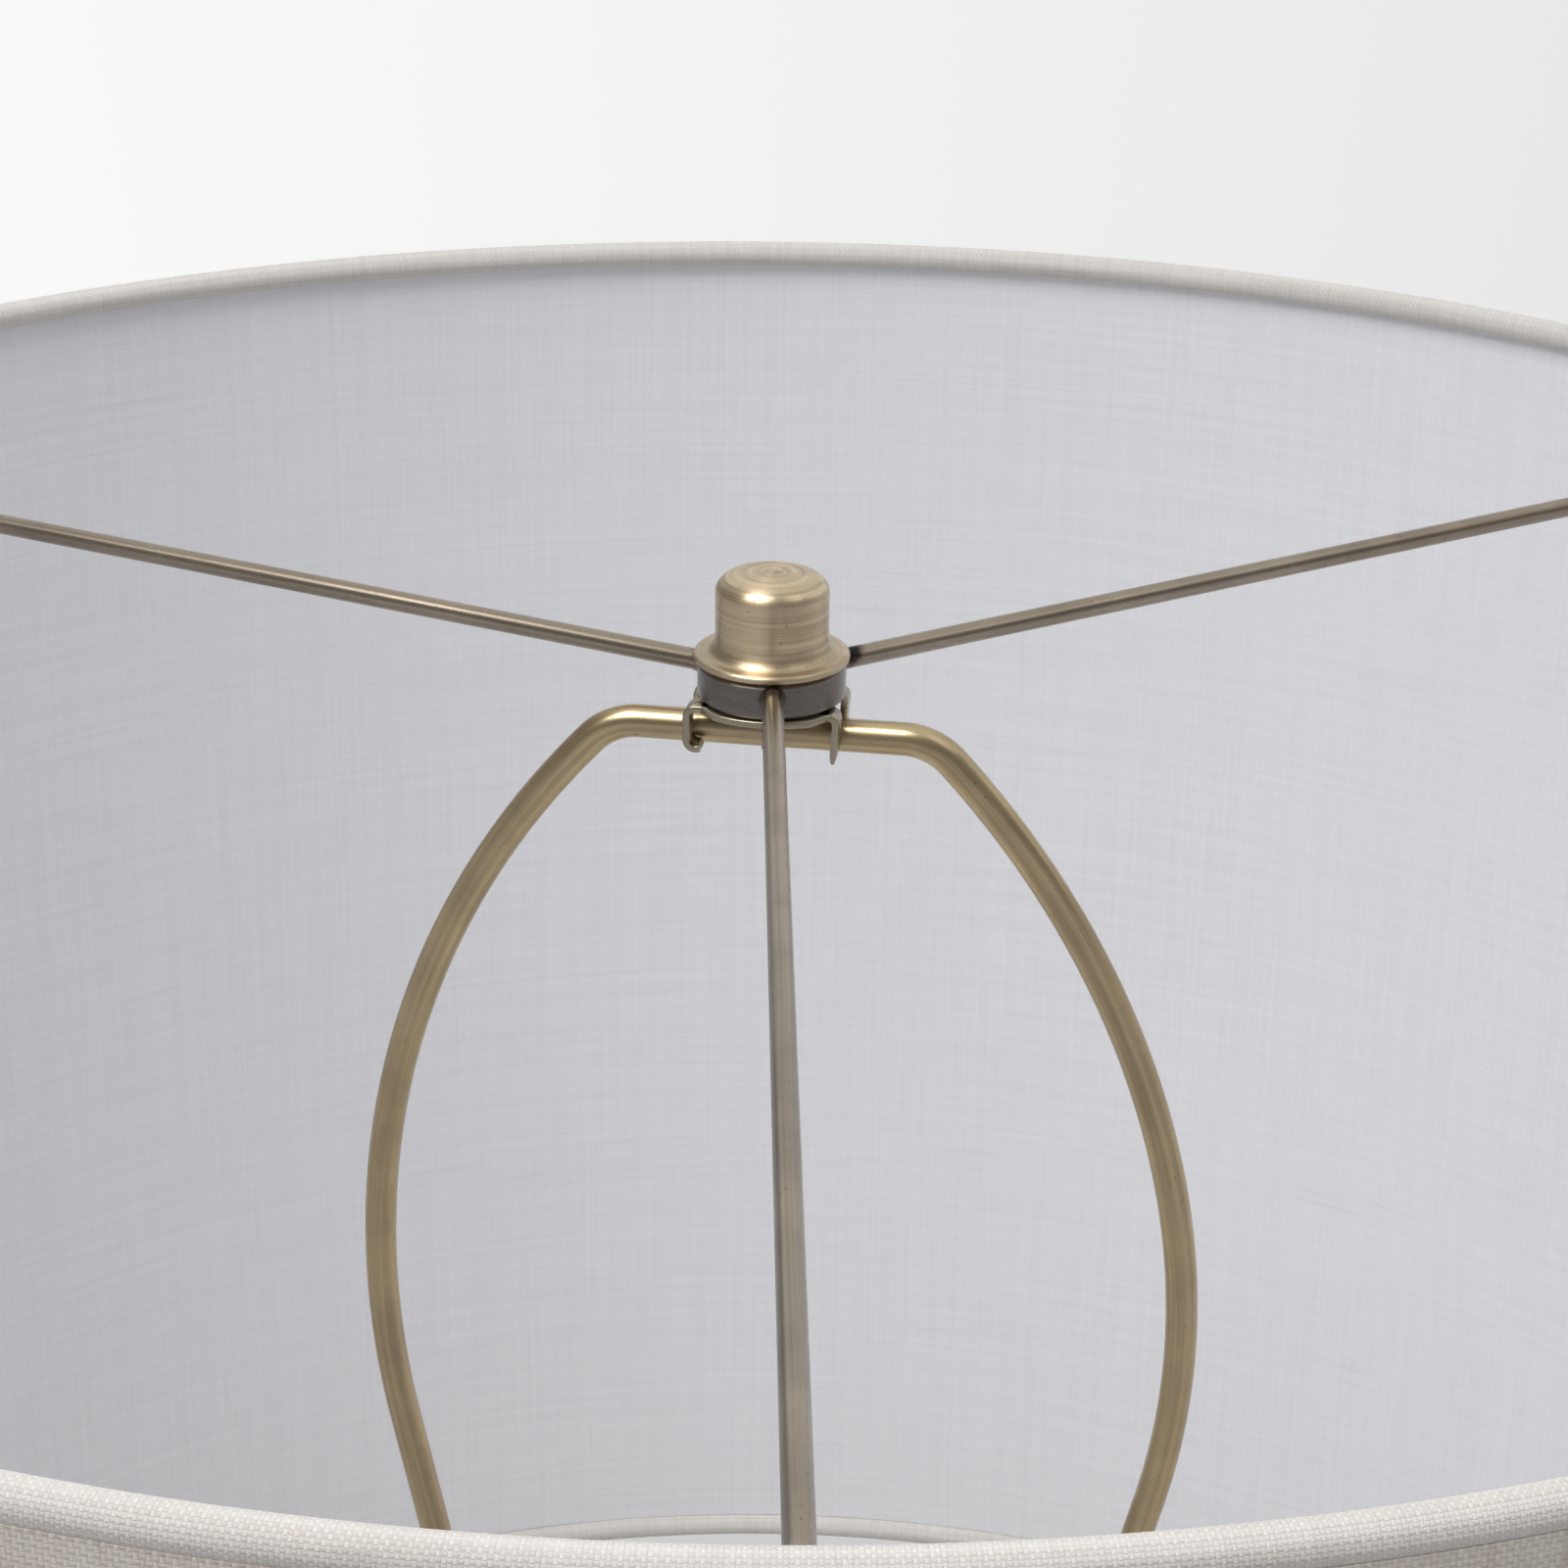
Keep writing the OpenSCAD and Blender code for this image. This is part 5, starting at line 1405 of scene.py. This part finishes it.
@dataclass
class Socket:
    """The lamp socket's threaded shell and the switch's fluted knob."""

    crest: float = 12.6 * MM
    thread: float = 0.8 * MM
    pitch: float = 3.6 * MM
    skin: float = 0.4 * MM
    hole: float = 6 * MM
    run_out: float = 2 * MM
    flutes: int = 18
    flute_depth: float = 0.09
    knob_edge: float = 0.4 * MM
    knob_round: float = 1.0 * MM
    flank: tuple[float, float] = (1.6 * MM, 11.4 * MM)
    plain_bands: tuple[float, float] = (1.4 * MM, 0.8 * MM)
    groove: tuple[float, float] = (1.2 * MM, 0.35 * MM)
    groove_drop: float = 0.05 * MM

    def screw_shell(self) -> None:
        """The rolled screw shell, a true helix that fades out at both ends over the run-out.

        Radius = crest + skin + thread x fade x (1 - cos(2 pi z / pitch - angle)) / 2.
        """
        low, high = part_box("screw_shell")
        angle = np.linspace(0, TAU, 97)
        a, z = np.meshgrid(angle, np.linspace(low.z + self.skin, high.z, 76), indexing="ij")
        fade = (np.clip((z - low.z - self.skin) / self.run_out, 0, 1)
                * np.clip((high.z - z) / self.run_out, 0, 1))
        radius = self.crest + self.skin + self.thread * fade * (1 - np.cos(TAU * z / self.pitch - a)) / 2
        hole, floor, inside = (np.full((len(angle), 1), part)
                               for part in (self.hole, low.z, low.z + self.skin))
        r = np.concatenate([hole, radius, radius[:, ::-1] - self.skin, hole, hole], axis=1)
        h = np.concatenate([floor, z, z[:, ::-1], inside, floor], axis=1)
        uv = mapped(angle * self.crest, along(np.stack([r[0], h[0]], axis=1)))
        piece = make_object("screw_shell_rolled", [Surface(round_axis(angle[:, None], r, h), uv)])
        dress(piece, Finish.NICKEL_SHELL, "base", ["screw_shell"])

    def knob(self) -> None:
        """The fluted knob, turned about the Y axis and grooved between two plain bands.

        Radius = body x (1 - depth x (1 - |sin(flutes x angle / 2)|^0.8)).
        """
        low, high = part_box("switch_knob")
        radius, length = high.x, high.y - low.y
        middle = (low.z + high.z) / 2
        angle = np.linspace(0, TAU, self.flutes * 10 + 1)
        edge, corner = self.knob_edge, self.knob_round
        profile = np.concatenate([[(0, 0)], arc((radius - edge, edge), (edge, edge), -90, 0, 5),
                                  np.stack([np.full(10, radius), np.linspace(*self.flank, 10)], 1),
                                  arc((radius - corner, length - corner), (corner, corner), 0, 90, 8),
                                  arc((radius * 0.5, length - self.groove_drop), self.groove, 0, -180, 8),
                                  [(0, length)]])
        r, away = profile[:, 0], profile[:, 1]
        near, far = self.plain_bands
        fluted = np.clip((away - near) / far, 0, 1) * np.clip((length - far - away) / MM, 0, 1)
        fluted = fluted * (r > radius * 0.8)
        cut = np.outer(1 - np.abs(np.sin(self.flutes * angle / 2)) ** 0.8, fluted)
        reach = r * (1 - self.flute_depth * cut)
        points = np.stack([reach * np.cos(angle)[:, None], np.broadcast_to(high.y - away, reach.shape),
                           middle + reach * np.sin(angle)[:, None]], axis=2)
        piece = make_object("knob_fluted", [Surface(points, mapped(angle * radius, along(profile)))], 55)
        dress(piece, Finish.KNOB_BLACK, "switch", ["switch_knob"])

    def build(self) -> None:
        """Makes the screw shell and the knob."""
        self.screw_shell()
        self.knob()


def dress_carried_nodes(nodes: Mapping[str, bpy.types.Object], record: Mapping[str, object]) -> None:
    """Gives each CAD node that still shows the finish of its slot in the record.

    Args:
        nodes: the CAD nodes by name.
        record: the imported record.
    """
    finishes = {finish.slot: finish for finish in Finish}
    slots = {part["node"]: part["material_slot"] for part in record["subparts"]}
    for name, piece in nodes.items():
        if not piece.hide_render:
            piece.data.materials.clear()
            piece.data.materials.append(finishes[slots[name]].material())
            LOG.info("%s keeps its CAD shape, in %s", name, slots[name])


def main() -> None:
    """Loads the frame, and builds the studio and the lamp."""
    logging.basicConfig(level=logging.INFO, format="%(name)s: %(message)s")
    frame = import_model()
    ring_low, ring_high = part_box("top_ring")
    arms_below_ring = 0.87 * MM
    Studio(hub_height=(ring_low.z + ring_high.z) / 2 - arms_below_ring).build()
    for assembly in (Harp(), Finial(), Shade(), Rope(), Base(), Socket()):
        assembly.build()
    dress_carried_nodes(frame["nodes"], frame["record"])


if __name__ == "__main__":
    main()
